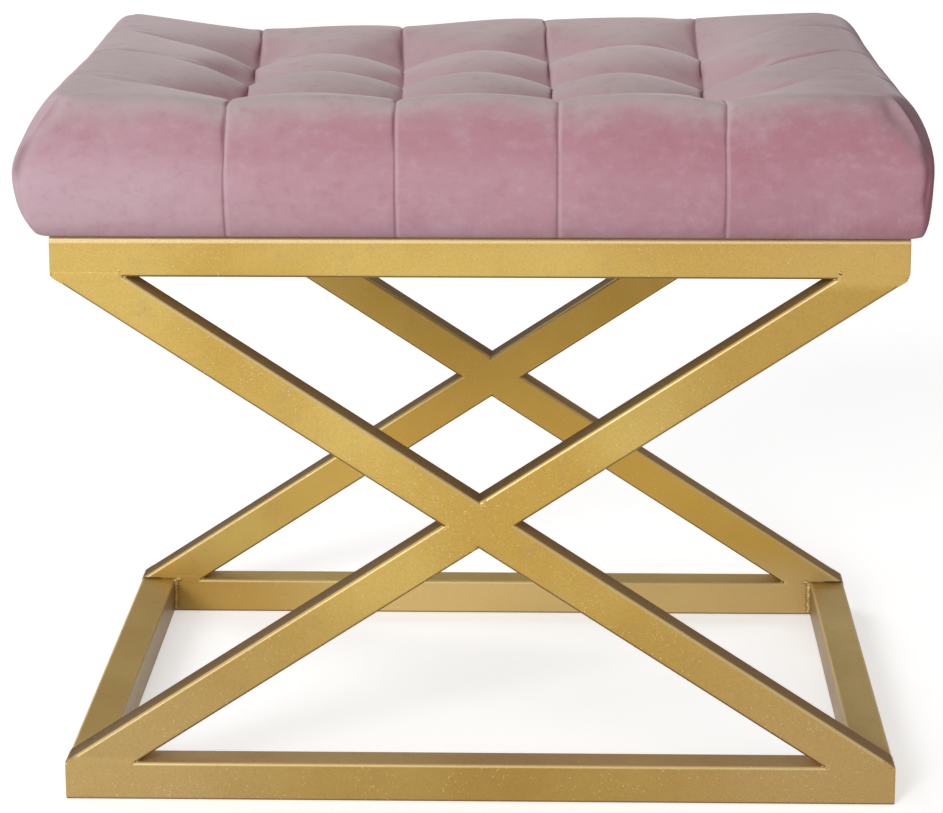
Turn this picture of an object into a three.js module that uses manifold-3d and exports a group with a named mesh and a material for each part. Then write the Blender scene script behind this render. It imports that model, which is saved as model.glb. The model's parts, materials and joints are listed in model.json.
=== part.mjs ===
// X frame stool: two welded X frames of square steel tube, joined by side rails,
// under a seat with a tufted velvet cushion. Millimetres, +Z up. The origin is on the
// floor under the middle of the frame, X runs along the long side, Y from front to back.
import * as THREE from "three";
import { mergeVertices } from "three/addons/utils/BufferGeometryUtils.js";
import Module from "manifold-3d";

// Driving dimensions of the frame
const frameWidth = 526;
const frameDepth = 430;
const frameHeight = 364;
const tubeSide = 25;
const tubeWall = 1.5;
const tubeCornerRadius = 2;
const endPlateThickness = 2;
const jointGap = 0.3; // between pieces that a weld, a press or their own weight holds together

// Corner plates of the upper ring and the fasteners that hold the seat
const cornerPlateThickness = 3;
const cornerPlateLeg = 60;
const cornerPlateNose = 6; // what is cut off each sharp end of a plate
const boltInset = 20; // from the inner faces of the ring to the bolt
const boltRadius = 3;
const boltLength = 20;
const boltHeadRadius = 5.8;
const boltHeadHeight = 4;
const boltPlay = 0.4; // from the shank to each hole that it passes
const washerRadius = 6;
const washerThickness = 1.6;
const teeNutFlangeRadius = 9.5;
const teeNutFlangeThickness = 1.5;
const teeNutBarrelRadius = 4.2;
const teeNutBarrelLength = 9;

// The seat, from the ring upwards
const dustCoverThickness = 0.8;
const dustCoverMargin = 14; // from the edge of the board to the edge of the dust cover
const coverThickness = 2; // velvet with its wadding
const coverHem = 42; // what is turned under the board
const boardThickness = 12;
const boardOverhang = 3;
const boardCornerRadius = 34;
const softGap = 0.5;

// The cushion's form
const padCrown = 76; // from the ring to the crown of the middle panels
const padEdgeRise = 10; // of the crest along the edges over that crown
const padCrestInset = 26; // from the widest outline to the crest
const padCrestWidth = 42; // over which the crest falls to the crown
const padBulge = 17.5; // of the sides beyond the frame
const padCornerDraw = 3; // of the outline's corners towards the middle
const seamPitchX = 102;
const seamPitchY = 113;
const seamDepth = 11; // of a seam halfway between two ties
const seamNotch = 4; // of a seam where it passes over the crest
const seamHalfWidth = 13;
const tuftDepth = 9; // of a crossing below the seams that meet there
const sidePinch = 2; // of a seam into the sides
const cornerPower = 16; // keeps the corners' draw near the corners
const sewnColumns = 5;
const sewnRows = 4;

// Tuft ties
const tieRadius = 1.2;
const tieToggleRadius = 6;
const tieToggleThickness = 1.2;
const tiePlay = 0.6; // from a tie to the hole that it passes

// Facets of round shapes
const tubeCornerFacets = 3;
const screwFacets = 20;
const hexFacets = 6;
const boardCornerFacets = 4;
const tieFacets = 8;

const mergeTolerance = 1e-4;

// Levels, from the ring upwards
const ringTop = frameHeight;
const dustCoverBottom = ringTop + jointGap;
const dustCoverTop = dustCoverBottom + dustCoverThickness;
const coverBottom = dustCoverTop + jointGap;
const coverFloor = coverBottom + coverThickness;
const boardBottom = coverFloor + jointGap;
const boardTop = boardBottom + boardThickness;
const foamBottom = boardTop + softGap;

// Places in plan
const ringInnerX = frameWidth / 2 - tubeSide;
const ringInnerY = frameDepth / 2 - tubeSide;
const boltX = ringInnerX - boltInset;
const boltY = ringInnerY - boltInset;
const boardHalfX = frameWidth / 2 + boardOverhang;
const boardHalfY = frameDepth / 2 + boardOverhang;
const padHalfX = frameWidth / 2 + padBulge;
const padHalfY = frameDepth / 2 + padBulge;
const overrun = frameWidth + frameDepth + frameHeight; // longer than any cut needs

const paint = new THREE.MeshStandardMaterial({ color: 0xc4a04f, metalness: 0.7, roughness: 0.42 });
const zinc = new THREE.MeshStandardMaterial({ color: 0xb9bcbf, metalness: 1, roughness: 0.35 });
const velvet = new THREE.MeshStandardMaterial({ color: 0xbe8794, roughness: 0.9 });
const foam = new THREE.MeshStandardMaterial({ color: 0xe9dfb8, roughness: 1 });
const plywood = new THREE.MeshStandardMaterial({ color: 0xc9a877, roughness: 0.8 });
const lining = new THREE.MeshStandardMaterial({ color: 0x1d1d1f, roughness: 0.95 });
const twine = new THREE.MeshStandardMaterial({ color: 0xe6e0d2, roughness: 0.9 });

const solids = await Module();
solids.setup();

// A closed three.js geometry as a solid that can be joined and cut.
function toSolid(geometry) {
  const bare = geometry.clone();
  bare.deleteAttribute("normal");
  bare.deleteAttribute("uv");
  const merged = mergeVertices(bare, mergeTolerance);
  const mesh = new solids.Mesh({
    numProp: 3,
    vertProperties: new Float32Array(merged.attributes.position.array),
    triVerts: new Uint32Array(merged.index.array),
  });
  return new solids.Manifold(mesh);
}

// A solid as a three.js geometry with flat faces.
function toGeometry(solid) {
  const { vertProperties, triVerts } = solid.getMesh();
  const shared = new THREE.BufferGeometry();
  shared.setAttribute("position", new THREE.BufferAttribute(vertProperties, 3));
  shared.setIndex(new THREE.BufferAttribute(triVerts, 1));
  const geometry = shared.toNonIndexed();
  geometry.computeVertexNormals();
  return geometry;
}

function named(name, geometry, material) {
  const mesh = new THREE.Mesh(geometry, material);
  mesh.name = name;
  return mesh;
}

// Draws a rectangle with rounded corners, centred on the origin, into a shape or a hole.
function roundedRectangle(outline, halfX, halfY, radius) {
  const x = halfX - radius;
  const y = halfY - radius;
  outline.moveTo(-x, -halfY);
  outline.lineTo(x, -halfY);
  outline.absarc(x, -y, radius, -Math.PI / 2, 0);
  outline.lineTo(halfX, y);
  outline.absarc(x, y, radius, 0, Math.PI / 2);
  outline.lineTo(-x, halfY);
  outline.absarc(-x, y, radius, Math.PI / 2, Math.PI);
  outline.lineTo(-halfX, -y);
  outline.absarc(-x, -y, radius, Math.PI, Math.PI * 1.5);
  return outline;
}

function roundHole(x, y, radius) {
  return new THREE.Path().absarc(x, y, radius, 0, Math.PI * 2);
}

// A flat piece with its lower face at the given height.
function plate(shape, bottom, thickness, curveSegments) {
  const geometry = new THREE.ExtrudeGeometry(shape, { depth: thickness, bevelEnabled: false, curveSegments });
  return geometry.translate(0, 0, bottom);
}

// A disc or a pin that stands on the given height.
function pin(x, y, bottom, height, radius, facets) {
  const geometry = new THREE.CylinderGeometry(radius, radius, height, facets);
  return geometry.rotateX(Math.PI / 2).translate(x, y, bottom + height / 2);
}

// Square tube, open at both ends, along Z and centred on the origin.
function tube(length) {
  const half = tubeSide / 2;
  const bore = half - tubeWall;
  const boreRadius = Math.max(tubeCornerRadius - tubeWall, tubeWall / 4);
  const section = roundedRectangle(new THREE.Shape(), half, half, tubeCornerRadius);
  section.holes.push(roundedRectangle(new THREE.Path(), bore, bore, boreRadius));
  return plate(section, -length / 2, length, tubeCornerFacets);
}

const tubeAlongX = (length) => tube(length).rotateY(Math.PI / 2);
const tubeAlongY = (length) => tube(length).rotateX(Math.PI / 2);

// The slope of the diagonals: the outer edge of each one meets the outer corners of the
// rails, so its level cut spans tubeSide / sin(slope) of the rail.
const clearHeight = frameHeight - tubeSide * 2;
const slope =
  Math.atan2(clearHeight, frameWidth) + Math.asin(tubeSide / Math.hypot(frameWidth, clearHeight));

// One X frame in its own XZ plane. Its hand is 1 where the diagonal that runs through starts
// at the upper left, and -1 where it starts at the upper right.
function xFrame(side, hand) {
  const frame = new THREE.Group();
  const railLength = frameWidth - (endPlateThickness + jointGap) * 2;
  const levels = { bottom: tubeSide / 2, top: frameHeight - tubeSide / 2 };
  const endSection = roundedRectangle(new THREE.Shape(), tubeSide / 2, tubeSide / 2, tubeCornerRadius);
  for (const [level, height] of Object.entries(levels)) {
    const rail = named(`${side}_${level}_rail`, tubeAlongX(railLength), paint);
    rail.position.z = height;
    frame.add(rail);
    for (const [end, sign] of [["left", -1], ["right", 1]]) {
      const cap = plate(endSection, -endPlateThickness / 2, endPlateThickness, tubeCornerFacets);
      const endPlate = named(`${side}_${level}_${end}_end_plate`, cap.rotateY(Math.PI / 2), paint);
      endPlate.position.set((sign * (frameWidth - endPlateThickness)) / 2, 0, height);
      frame.add(endPlate);
    }
  }

  // Both diagonals are sawn level between the rails. One runs through, and its faces
  // saw the other one into two halves.
  const middle = frameHeight / 2;
  const between = toSolid(new THREE.BoxGeometry(overrun, overrun, clearHeight - jointGap * 2));
  const stock = tube(overrun).rotateY(Math.PI / 2);
  const through = toSolid(stock.clone().rotateY(hand * slope)).intersect(between);
  const crossing = toSolid(stock.clone().rotateY(-hand * slope)).intersect(between);
  const diagonals = { long_diagonal: through };
  for (const [half, sign] of [["upper_half", 1], ["lower_half", -1]]) {
    const beyond = new THREE.BoxGeometry(overrun, overrun, overrun);
    beyond.translate(0, 0, sign * (overrun / 2 + tubeSide / 2 + jointGap)).rotateY(hand * slope);
    diagonals[`${half}_diagonal`] = crossing.intersect(toSolid(beyond));
  }
  for (const [name, solid] of Object.entries(diagonals)) {
    const diagonal = named(`${side}_${name}`, toGeometry(solid), paint);
    diagonal.position.z = middle;
    frame.add(diagonal);
  }
  return frame;
}

// Side rails, butted between the two X frames and flush with the ends of their rails.
function sideRails() {
  const rails = new THREE.Group();
  const length = frameDepth - (tubeSide + jointGap) * 2;
  for (const [side, sign] of [["left", -1], ["right", 1]])
    for (const [level, height] of [["bottom", tubeSide / 2], ["top", frameHeight - tubeSide / 2]]) {
      const rail = named(`${side}_${level}_side_rail`, tubeAlongY(length), paint);
      rail.position.set((sign * (frameWidth - tubeSide)) / 2, 0, height);
      rails.add(rail);
    }
  return rails;
}

// The corner plate drawn for the back right corner of the ring, where both signs are 1.
function cornerPlate(signX, signY) {
  const x = ringInnerX - jointGap;
  const y = ringInnerY - jointGap;
  const outline = [
    [x, y],
    [x - cornerPlateLeg, y],
    [x - cornerPlateLeg, y - cornerPlateNose],
    [x - cornerPlateNose, y - cornerPlateLeg],
    [x, y - cornerPlateLeg],
  ];
  const points = outline.map(([px, py]) => new THREE.Vector2(px * signX, py * signY));
  const shape = new THREE.Shape(points);
  shape.holes.push(roundHole(boltX * signX, boltY * signY, boltRadius + boltPlay));
  return plate(shape, ringTop - cornerPlateThickness, cornerPlateThickness, screwFacets / 2);
}

// One corner's bolt from below, with its washer, and the tee nut let into the board.
function cornerFasteners(corner, x, y) {
  const washerTop = ringTop - cornerPlateThickness - jointGap;
  const washerBottom = washerTop - washerThickness;
  const headTop = washerBottom - jointGap;
  const boltHole = boltRadius + boltPlay;
  const head = pin(x, y, headTop - boltHeadHeight, boltHeadHeight, boltHeadRadius, hexFacets);
  const shank = pin(x, y, headTop - boltHeadHeight / 2, boltLength + boltHeadHeight / 2, boltRadius, screwFacets);
  const bolt = toSolid(head).add(toSolid(shank));

  const ring = new THREE.Shape().absarc(x, y, washerRadius, 0, Math.PI * 2);
  ring.holes.push(roundHole(x, y, boltHole));
  const washer = plate(ring, washerBottom, washerThickness, screwFacets / 2);

  const flangeBottom = boardTop - teeNutFlangeThickness;
  const flange = pin(x, y, flangeBottom, teeNutFlangeThickness, teeNutFlangeRadius, screwFacets);
  const barrelHeight = teeNutBarrelLength + teeNutFlangeThickness / 2;
  const barrel = pin(x, y, flangeBottom - teeNutBarrelLength, barrelHeight, teeNutBarrelRadius, screwFacets);
  const thread = pin(x, y, boardBottom - overrun / 2, overrun, boltHole, screwFacets);
  const teeNut = toSolid(flange).add(toSolid(barrel)).subtract(toSolid(thread));
  return [
    named(`${corner}_seat_bolt`, toGeometry(bolt), zinc),
    named(`${corner}_seat_washer`, washer, zinc),
    named(`${corner}_tee_nut`, toGeometry(teeNut), zinc),
  ];
}

// Places of the seams that cross a length: a given number of panels, pitch apart.
function seamPlaces(panels, pitch) {
  return Array.from({ length: panels - 1 }, (_, i) => (i + 1 - panels / 2) * pitch);
}

const seamsX = seamPlaces(sewnColumns, seamPitchX);
const seamsY = seamPlaces(sewnRows, seamPitchY);
const crossings = seamsX.flatMap((x) => seamsY.map((y) => [x, y]));

// How much of a seam is felt at a distance from it: 1 on the seam, 0 far away.
function seamPull(place, seams) {
  return Math.max(...seams.map((seam) => Math.exp(-Math.abs(place - seam) / seamHalfWidth)));
}

// Height of the cushion's top over the ring, at a place and at its distance from the outline.
function topHeight(x, y, fromEdge) {
  const edge = Math.exp(-(((fromEdge - padCrestInset) / padCrestWidth) ** 2));
  const alongX = seamPull(x, seamsX);
  const alongY = seamPull(y, seamsY);
  const depth = THREE.MathUtils.lerp(seamDepth, seamNotch, edge);
  const sewn = Math.max(alongX, alongY) * depth;
  return padCrown + padEdgeRise * edge - sewn - alongX * alongY * tuftDepth * (1 - edge);
}

// Lines of the cushion's grid across one direction: its edges, its seams and lines between
// them. The end panels have more lines towards the edge, where the outline turns.
function gridLines(half, seams, innerShares, endShares) {
  const lines = [];
  const last = seams.length - 1;
  endShares.forEach((share) => lines.push(THREE.MathUtils.lerp(-half, seams[0], share)));
  for (let i = 0; i < last; i += 1)
    innerShares.forEach((share) => lines.push(THREE.MathUtils.lerp(seams[i], seams[i + 1], share)));
  lines.push(seams[last]);
  const back = [...endShares].reverse();
  back.forEach((share) => lines.push(THREE.MathUtils.lerp(half, seams[last], share)));
  return lines;
}

// How the sides go from the crest to the base: shares of the reach out to the widest
// outline, and of the drop down to the base.
const fineSideShares = [[0.35, 0.06], [0.66, 0.19], [0.88, 0.35], [1, 0.56], [0.95, 0.76], [0.86, 0.92], [0.66, 1]];
const plainSideShares = [[0.66, 0.19], [1, 0.56], [0.86, 0.92], [0.66, 1]];
const fineShares = [0, 0.2, 0.5, 0.8];
const fineEndShares = [0, 0.25, 0.55, 0.84];
const plainShares = [0, 0.5];
const plainEndShares = [0, 0.4];

// The cushion's closed form, drawn in on all sides: a crowned top with its sewn channels,
// and sides that bulge and are drawn in at the corners and at the seams.
function cushionForm(inset, innerShares, endShares, sideShares) {
  const crestX = padHalfX - padCrestInset;
  const crestY = padHalfY - padCrestInset;
  const xs = gridLines(crestX, seamsX, innerShares, endShares);
  const ys = gridLines(crestY, seamsY, innerShares, endShares);
  const base = coverBottom + inset;
  const scaleX = (padHalfX - inset) / padHalfX;
  const scaleY = (padHalfY - inset) / padHalfY;
  const positions = [];
  const faces = [];
  const addPoint = (x, y, z) => positions.push(x * scaleX, y * scaleY, z) / 3 - 1;
  const addQuad = (a, b, c, d) => faces.push(a, b, c, a, c, d);

  const topPoint = (x, y) => {
    const corner = (Math.abs(x / crestX) * Math.abs(y / crestY)) ** cornerPower;
    const fromEdge = padCrestInset + Math.min(crestX - Math.abs(x), crestY - Math.abs(y));
    const drawn = padCornerDraw * corner;
    const z = ringTop + topHeight(x, y, fromEdge) - inset;
    return [x - Math.sign(x) * drawn, y - Math.sign(y) * drawn, z];
  };
  const top = xs.map((x) => ys.map((y) => addPoint(...topPoint(x, y))));
  for (let i = 0; i + 1 < xs.length; i += 1)
    for (let j = 0; j + 1 < ys.length; j += 1)
      addQuad(top[i][j], top[i + 1][j], top[i + 1][j + 1], top[i][j + 1]);

  // The crest's points in order, each with the direction in which its side reaches out.
  const rim = [];
  const lastX = xs.length - 1;
  const lastY = ys.length - 1;
  for (let i = 0; i < lastX; i += 1) rim.push([i, 0]);
  for (let j = 0; j < lastY; j += 1) rim.push([lastX, j]);
  for (let i = lastX; i > 0; i -= 1) rim.push([i, lastY]);
  for (let j = lastY; j > 0; j -= 1) rim.push([0, j]);
  const outward = (i, j) => [
    (i === 0 ? -1 : 0) + (i === lastX ? 1 : 0),
    (j === 0 ? -1 : 0) + (j === lastY ? 1 : 0),
  ];

  let ring = rim.map(([i, j]) => top[i][j]);
  for (const [outShare, dropShare] of sideShares) {
    const next = rim.map(([i, j]) => {
      const [x, y, crest] = topPoint(xs[i], ys[j]);
      const [dx, dy] = outward(i, j);
      const pull = dx === 0 ? seamPull(xs[i], seamsX) : seamPull(ys[j], seamsY);
      const corner = dx !== 0 && dy !== 0 ? Math.SQRT1_2 : 1;
      const reach = (padCrestInset * outShare - sidePinch * pull) * corner;
      return addPoint(x + dx * reach, y + dy * reach, THREE.MathUtils.lerp(crest, base, dropShare));
    });
    ring.forEach((point, k) => {
      const after = (k + 1) % ring.length;
      addQuad(point, next[k], next[after], ring[after]);
    });
    ring = next;
  }
  const centre = addPoint(0, 0, base);
  ring.forEach((point, k) => faces.push(point, centre, ring[(k + 1) % ring.length]));

  const geometry = new THREE.BufferGeometry();
  geometry.setAttribute("position", new THREE.Float32BufferAttribute(positions, 3));
  geometry.setIndex(faces);
  return toSolid(geometry);
}

// The velvet skin: the form, hollow, with an opening under the board inside its hem.
function velvetCover() {
  const outside = cushionForm(0, fineShares, fineEndShares, fineSideShares);
  const inside = cushionForm(coverThickness, plainShares, plainEndShares, plainSideShares);
  const opening = new THREE.BoxGeometry(
    (boardHalfX - coverHem) * 2,
    (boardHalfY - coverHem) * 2,
    (coverThickness + jointGap) * 2,
  );
  opening.translate(0, 0, coverBottom);
  return toGeometry(outside.subtract(inside).subtract(toSolid(opening)));
}

// The foam pad fills the skin above the board and is bored for the ties.
function foamPad() {
  const filling = cushionForm(coverThickness + softGap, plainShares, plainEndShares, plainSideShares);
  const above = new THREE.BoxGeometry(overrun, overrun, overrun).translate(0, 0, foamBottom + overrun / 2);
  return toGeometry(boredForTies(filling.intersect(toSolid(above))));
}

function boredForTies(solid) {
  let bored = solid;
  for (const [x, y] of crossings) {
    const hole = pin(x, y, boardBottom - overrun / 2, overrun, tieRadius + tiePlay, tieFacets);
    bored = bored.subtract(toSolid(hole));
  }
  return bored;
}

// Plywood board: bored for the ties and the bolts, with the tee nuts let in flush.
function seatBoard(corners) {
  const outline = roundedRectangle(new THREE.Shape(), boardHalfX, boardHalfY, boardCornerRadius);
  let board = boredForTies(toSolid(plate(outline, boardBottom, boardThickness, boardCornerFacets)));
  const recess = boardTop - teeNutFlangeThickness - jointGap;
  for (const { x, y } of corners) {
    const bore = pin(x, y, boardBottom - overrun / 2, overrun, teeNutBarrelRadius + jointGap, screwFacets);
    const seat = pin(x, y, recess, boardThickness, teeNutFlangeRadius + jointGap, screwFacets);
    board = board.subtract(toSolid(bore)).subtract(toSolid(seat));
  }
  return toGeometry(board);
}

function dustCover(corners) {
  const halfX = boardHalfX - dustCoverMargin;
  const halfY = boardHalfY - dustCoverMargin;
  const shape = roundedRectangle(new THREE.Shape(), halfX, halfY, boardCornerRadius / 2);
  for (const { x, y } of corners) shape.holes.push(roundHole(x, y, boltRadius + boltPlay));
  return plate(shape, dustCoverBottom, dustCoverThickness, screwFacets / 2);
}

// A tie from its toggle under the board to its knot under the skin, turned about Z.
function tuftTie(x, y) {
  const bottom = boardBottom - jointGap - tieToggleThickness;
  const edge = Math.min(padHalfX - Math.abs(x), padHalfY - Math.abs(y));
  const skin = ringTop + topHeight(x, y, edge) - coverThickness;
  const top = skin - softGap * 2;
  const profile = [
    [0, bottom],
    [tieToggleRadius, bottom],
    [tieToggleRadius, bottom + tieToggleThickness],
    [tieRadius, bottom + tieToggleThickness],
    [tieRadius, top],
    [0, top],
  ].map(([radius, z]) => new THREE.Vector2(radius, z));
  return new THREE.LatheGeometry(profile, tieFacets).rotateX(Math.PI / 2).translate(x, y, 0);
}

function seat() {
  const group = new THREE.Group();
  const corners = [
    { name: "front_left", signX: -1, signY: -1 },
    { name: "front_right", signX: 1, signY: -1 },
    { name: "rear_left", signX: -1, signY: 1 },
    { name: "rear_right", signX: 1, signY: 1 },
  ].map((corner) => ({ ...corner, x: boltX * corner.signX, y: boltY * corner.signY }));
  for (const { name, signX, signY, x, y } of corners) {
    group.add(named(`${name}_corner_plate`, cornerPlate(signX, signY), paint));
    group.add(...cornerFasteners(name, x, y));
  }
  group.add(named("dust_cover", dustCover(corners), lining));
  group.add(named("seat_board", seatBoard(corners), plywood));
  group.add(named("foam_pad", foamPad(), foam));
  group.add(named("velvet_cover", velvetCover(), velvet));
  crossings.forEach(([x, y], i) => group.add(named(`tuft_tie_${i + 1}`, tuftTie(x, y), twine)));
  return group;
}

const stool = new THREE.Group();
stool.name = "x_frame_stool";
const front = xFrame("front", 1);
front.position.y = (tubeSide - frameDepth) / 2;
const rear = xFrame("rear", -1);
rear.position.y = (frameDepth - tubeSide) / 2;
stool.add(front, rear, sideRails(), seat());

export default stool;
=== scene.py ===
"""The looks of an X frame stool: welded square tube in gold paint under a tufted velvet seat.

Everything is in metres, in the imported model's own frame: the origin on the floor under the
middle of the stool, X along its long side, Y from front to back and Z up.
"""

import json
import logging
import math
from dataclasses import dataclass, field
from enum import Enum
from typing import Any, Callable, Sequence

import bmesh
import bpy
from mathutils import Matrix, Vector, noise
from mathutils.bvhtree import BVHTree


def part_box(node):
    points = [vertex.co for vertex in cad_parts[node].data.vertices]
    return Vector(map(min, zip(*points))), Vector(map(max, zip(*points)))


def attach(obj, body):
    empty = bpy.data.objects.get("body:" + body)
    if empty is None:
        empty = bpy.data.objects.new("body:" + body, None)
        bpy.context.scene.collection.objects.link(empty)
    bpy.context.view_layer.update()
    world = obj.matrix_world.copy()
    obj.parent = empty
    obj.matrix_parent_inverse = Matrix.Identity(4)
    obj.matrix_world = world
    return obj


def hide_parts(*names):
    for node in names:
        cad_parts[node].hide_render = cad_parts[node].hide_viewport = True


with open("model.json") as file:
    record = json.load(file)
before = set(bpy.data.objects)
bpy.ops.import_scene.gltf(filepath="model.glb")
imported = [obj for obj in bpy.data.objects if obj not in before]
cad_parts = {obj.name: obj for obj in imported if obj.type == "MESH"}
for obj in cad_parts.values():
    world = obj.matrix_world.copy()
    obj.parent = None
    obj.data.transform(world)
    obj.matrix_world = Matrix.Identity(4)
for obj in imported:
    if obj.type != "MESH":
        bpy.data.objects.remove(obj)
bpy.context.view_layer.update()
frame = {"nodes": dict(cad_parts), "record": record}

log = logging.getLogger("stool")

MM = 0.001
ROOT = "root"
NOISE_SEED = 1
ENDS = {"left": -1, "right": 1}
Colour = tuple[float, float, float]
Place = tuple[float, float, float]


class Slot(Enum):
    """The record's material slots."""

    GOLD_PAINT = "gold_paint"
    ZINC = "zinc"
    VELVET = "velvet"
    FOAM = "foam"
    PLYWOOD = "plywood"
    LINING = "lining"
    TWINE = "twine"


class Side(Enum):
    """The two X frames: the sign of Y of each and the hand of the diagonal that runs through."""

    FRONT = (-1, 1)
    REAR = (1, -1)

    @property
    def sign(self) -> int:
        """-1 at the front, 1 at the rear."""
        return self.value[0]

    @property
    def hand(self) -> int:
        """1 where the diagonal that runs through starts at the upper left."""
        return self.value[1]

    @property
    def label(self) -> str:
        """The side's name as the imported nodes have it."""
        return self.name.lower()


def srgb(red: int, green: int, blue: int) -> Colour:
    """A colour as it is seen on a screen, as linear light.

    Args:
        red: The red channel, from 0 to 255.
        green: The green channel.
        blue: The blue channel.

    Returns:
        The linear colour.
    """

    def linear(channel: int) -> float:
        """One channel as linear light."""
        share = channel / 255
        return share / 12.92 if share <= 0.04045 else ((share + 0.055) / 1.055) ** 2.4

    return linear(red), linear(green), linear(blue)


def smooth_step(low: float, high: float, value: float) -> float:
    """0 at low and before it, 1 at high and past it, and smooth between them."""
    share = min(max((value - low) / (high - low), 0.0), 1.0)
    return share * share * (3 - 2 * share)


def lerp(first: float, second: float, share: float) -> float:
    """The number that lies share of the way from first to second."""
    return first + (second - first) * share


def corner_indices(item: bmesh.types.BMEdge | bmesh.types.BMFace) -> list[int]:
    """The indices of an edge's or a face's corners, in rising order."""
    return sorted(vert.index for vert in item.verts)


def settle_order(mesh: bmesh.types.BMesh) -> None:
    """Puts edges and faces in the order of their corners, because extruding leaves them in none."""
    mesh.verts.index_update()
    for items in (mesh.edges, mesh.faces):
        ranks = {item: rank for rank, item in enumerate(sorted(items, key=corner_indices))}
        items.sort(key=ranks.get)
        items.index_update()


class Value:
    """A number, colour or vector in a shader, with the usual arithmetic for numbers."""

    def __init__(self, graph: "Graph", socket: bpy.types.NodeSocket) -> None:
        """Wraps an output socket of the graph."""
        self.graph = graph
        self.socket = socket

    def _math(self, operation: str, first: Any, second: Any = 0.0) -> "Value":
        """Adds a Math node for first and second."""
        return self.graph.add("ShaderNodeMath", {"operation": operation}, {0: first, 1: second})

    def __add__(self, other: Any) -> "Value":
        """self + other"""
        return self._math("ADD", self, other)

    __radd__ = __add__

    def __mul__(self, other: Any) -> "Value":
        """self * other"""
        return self._math("MULTIPLY", self, other)

    __rmul__ = __mul__

    def __sub__(self, other: Any) -> "Value":
        """self - other"""
        return self._math("SUBTRACT", self, other)

    def __rsub__(self, other: Any) -> "Value":
        """other - self"""
        return self._math("SUBTRACT", other, self)

    def __neg__(self) -> "Value":
        """-self"""
        return self._math("SUBTRACT", 0.0, self)

    def larger(self, other: Any) -> "Value":
        """The larger of self and other."""
        return self._math("MAXIMUM", self, other)

    def steps(self, low: float, high: float) -> "Value":
        """A smooth step: 0 below low and 1 above high."""
        settings = {"interpolation_type": "SMOOTHSTEP"}
        return self.graph.add("ShaderNodeMapRange", settings, {0: self, 1: low, 2: high, 3: 0.0, 4: 1.0})

    def falls(self, low: float, high: float) -> "Value":
        """A smooth step down: 1 below low and 0 above high."""
        return 1 - self.steps(low, high)


class Graph:
    """A material's or a world's node tree while it is being written."""

    def __init__(self, owner: bpy.types.Material | bpy.types.World) -> None:
        """Starts with an empty tree."""
        owner.use_nodes = True
        self.owner = owner
        self.tree = owner.node_tree
        self.tree.nodes.clear()

    def node(self, kind: str, settings: dict[str, Any], sockets: dict[Any, Any]) -> bpy.types.Node:
        """Adds a node.

        Args:
            kind: The node's type.
            settings: The node's own properties, set first.
            sockets: Its inputs by name or place, each with a number, a colour, a vector,
                a Value or an output socket.

        Returns:
            The node.
        """
        made = self.tree.nodes.new(kind)
        for name, setting in settings.items():
            setattr(made, name, setting)
        for key, given in sockets.items():
            target = made.inputs[key]
            if isinstance(given, Value):
                self.tree.links.new(given.socket, target)
            elif isinstance(given, bpy.types.NodeSocket):
                self.tree.links.new(given, target)
            elif isinstance(given, tuple) and len(given) == 3 and target.type == "RGBA":
                target.default_value = (*given, 1.0)
            else:
                target.default_value = given
        return made

    def add(
        self, kind: str, settings: dict[str, Any], sockets: dict[Any, Any], output: Any = 0
    ) -> Value:
        """Adds a node, as node does, and returns one of its outputs as a Value."""
        return Value(self, self.node(kind, settings, sockets).outputs[output])

    def place(self, stretch: Place = (1, 1, 1)) -> Value:
        """The place on the object, in metres, stretched along its axes."""
        where = self.add("ShaderNodeTexCoord", {}, {}, "Object")
        return self.add("ShaderNodeMapping", {}, {"Vector": where, "Scale": stretch})

    def axes(self, vector: Value) -> list[Value]:
        """The X, Y and Z of a vector."""
        return [self.add("ShaderNodeSeparateXYZ", {}, {0: vector}, axis) for axis in range(3)]

    def facing(self) -> list[Value]:
        """How far the surface faces along X, Y and Z, from -1 to 1."""
        return self.axes(self.add("ShaderNodeNewGeometry", {}, {}, "Normal"))

    def attribute(self, name: str) -> Value:
        """A number that the mesh keeps at each corner."""
        return self.add("ShaderNodeAttribute", {"attribute_name": name}, {}, "Fac")

    def noise(self, where: Value, scale: float, detail: float = 2.0, roughness: float = 0.5) -> Value:
        """Smooth noise from 0 to 1 with about scale bumps a metre."""
        sockets = {"Vector": where, "Scale": scale, "Detail": detail, "Roughness": roughness}
        return self.add("ShaderNodeTexNoise", {}, sockets)

    def mix(self, share: Any, first: Any, second: Any, blend: str = "MIX") -> Value:
        """Mixes two colours by share."""
        settings = {"data_type": "RGBA", "blend_type": blend}
        return self.add("ShaderNodeMix", settings, {0: share, 6: first, 7: second}, 2)

    def coats(self, base: Any, layers: Sequence[tuple[Any, Any]]) -> Any:
        """Lays coats over a colour, each with its share and its tone."""
        for share, tone in layers:
            base = self.mix(share, base, tone)
        return base

    def bump(self, height: Value, strength: float, distance: float, normal: Value | None = None) -> Value:
        """A bumped normal, on top of another one if it is given."""
        sockets: dict[Any, Any] = {"Height": height, "Strength": strength, "Distance": distance}
        if normal is not None:
            sockets["Normal"] = normal
        return self.add("ShaderNodeBump", {}, sockets)

    def seen_directly(self) -> Value:
        """1 for what the camera, gloss and glass show, and 0 for the light on matt surfaces."""
        path = self.node("ShaderNodeLightPath", {}, {})
        camera, gloss, glass = (
            Value(self, path.outputs[f"Is {ray} Ray"]) for ray in ("Camera", "Glossy", "Transmission")
        )
        return camera.larger(gloss).larger(glass)

    def surface(self, **sockets: Any) -> bpy.types.Material:
        """Finishes a material with one Principled shader.

        Args:
            sockets: Its inputs, with underscores for the spaces in their names.

        Returns:
            The material.
        """
        named = {name.replace("_", " "): given for name, given in sockets.items()}
        shader = self.node("ShaderNodeBsdfPrincipled", {}, named)
        self.node("ShaderNodeOutputMaterial", {}, {"Surface": shader.outputs["BSDF"]})
        return self.owner


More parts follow.
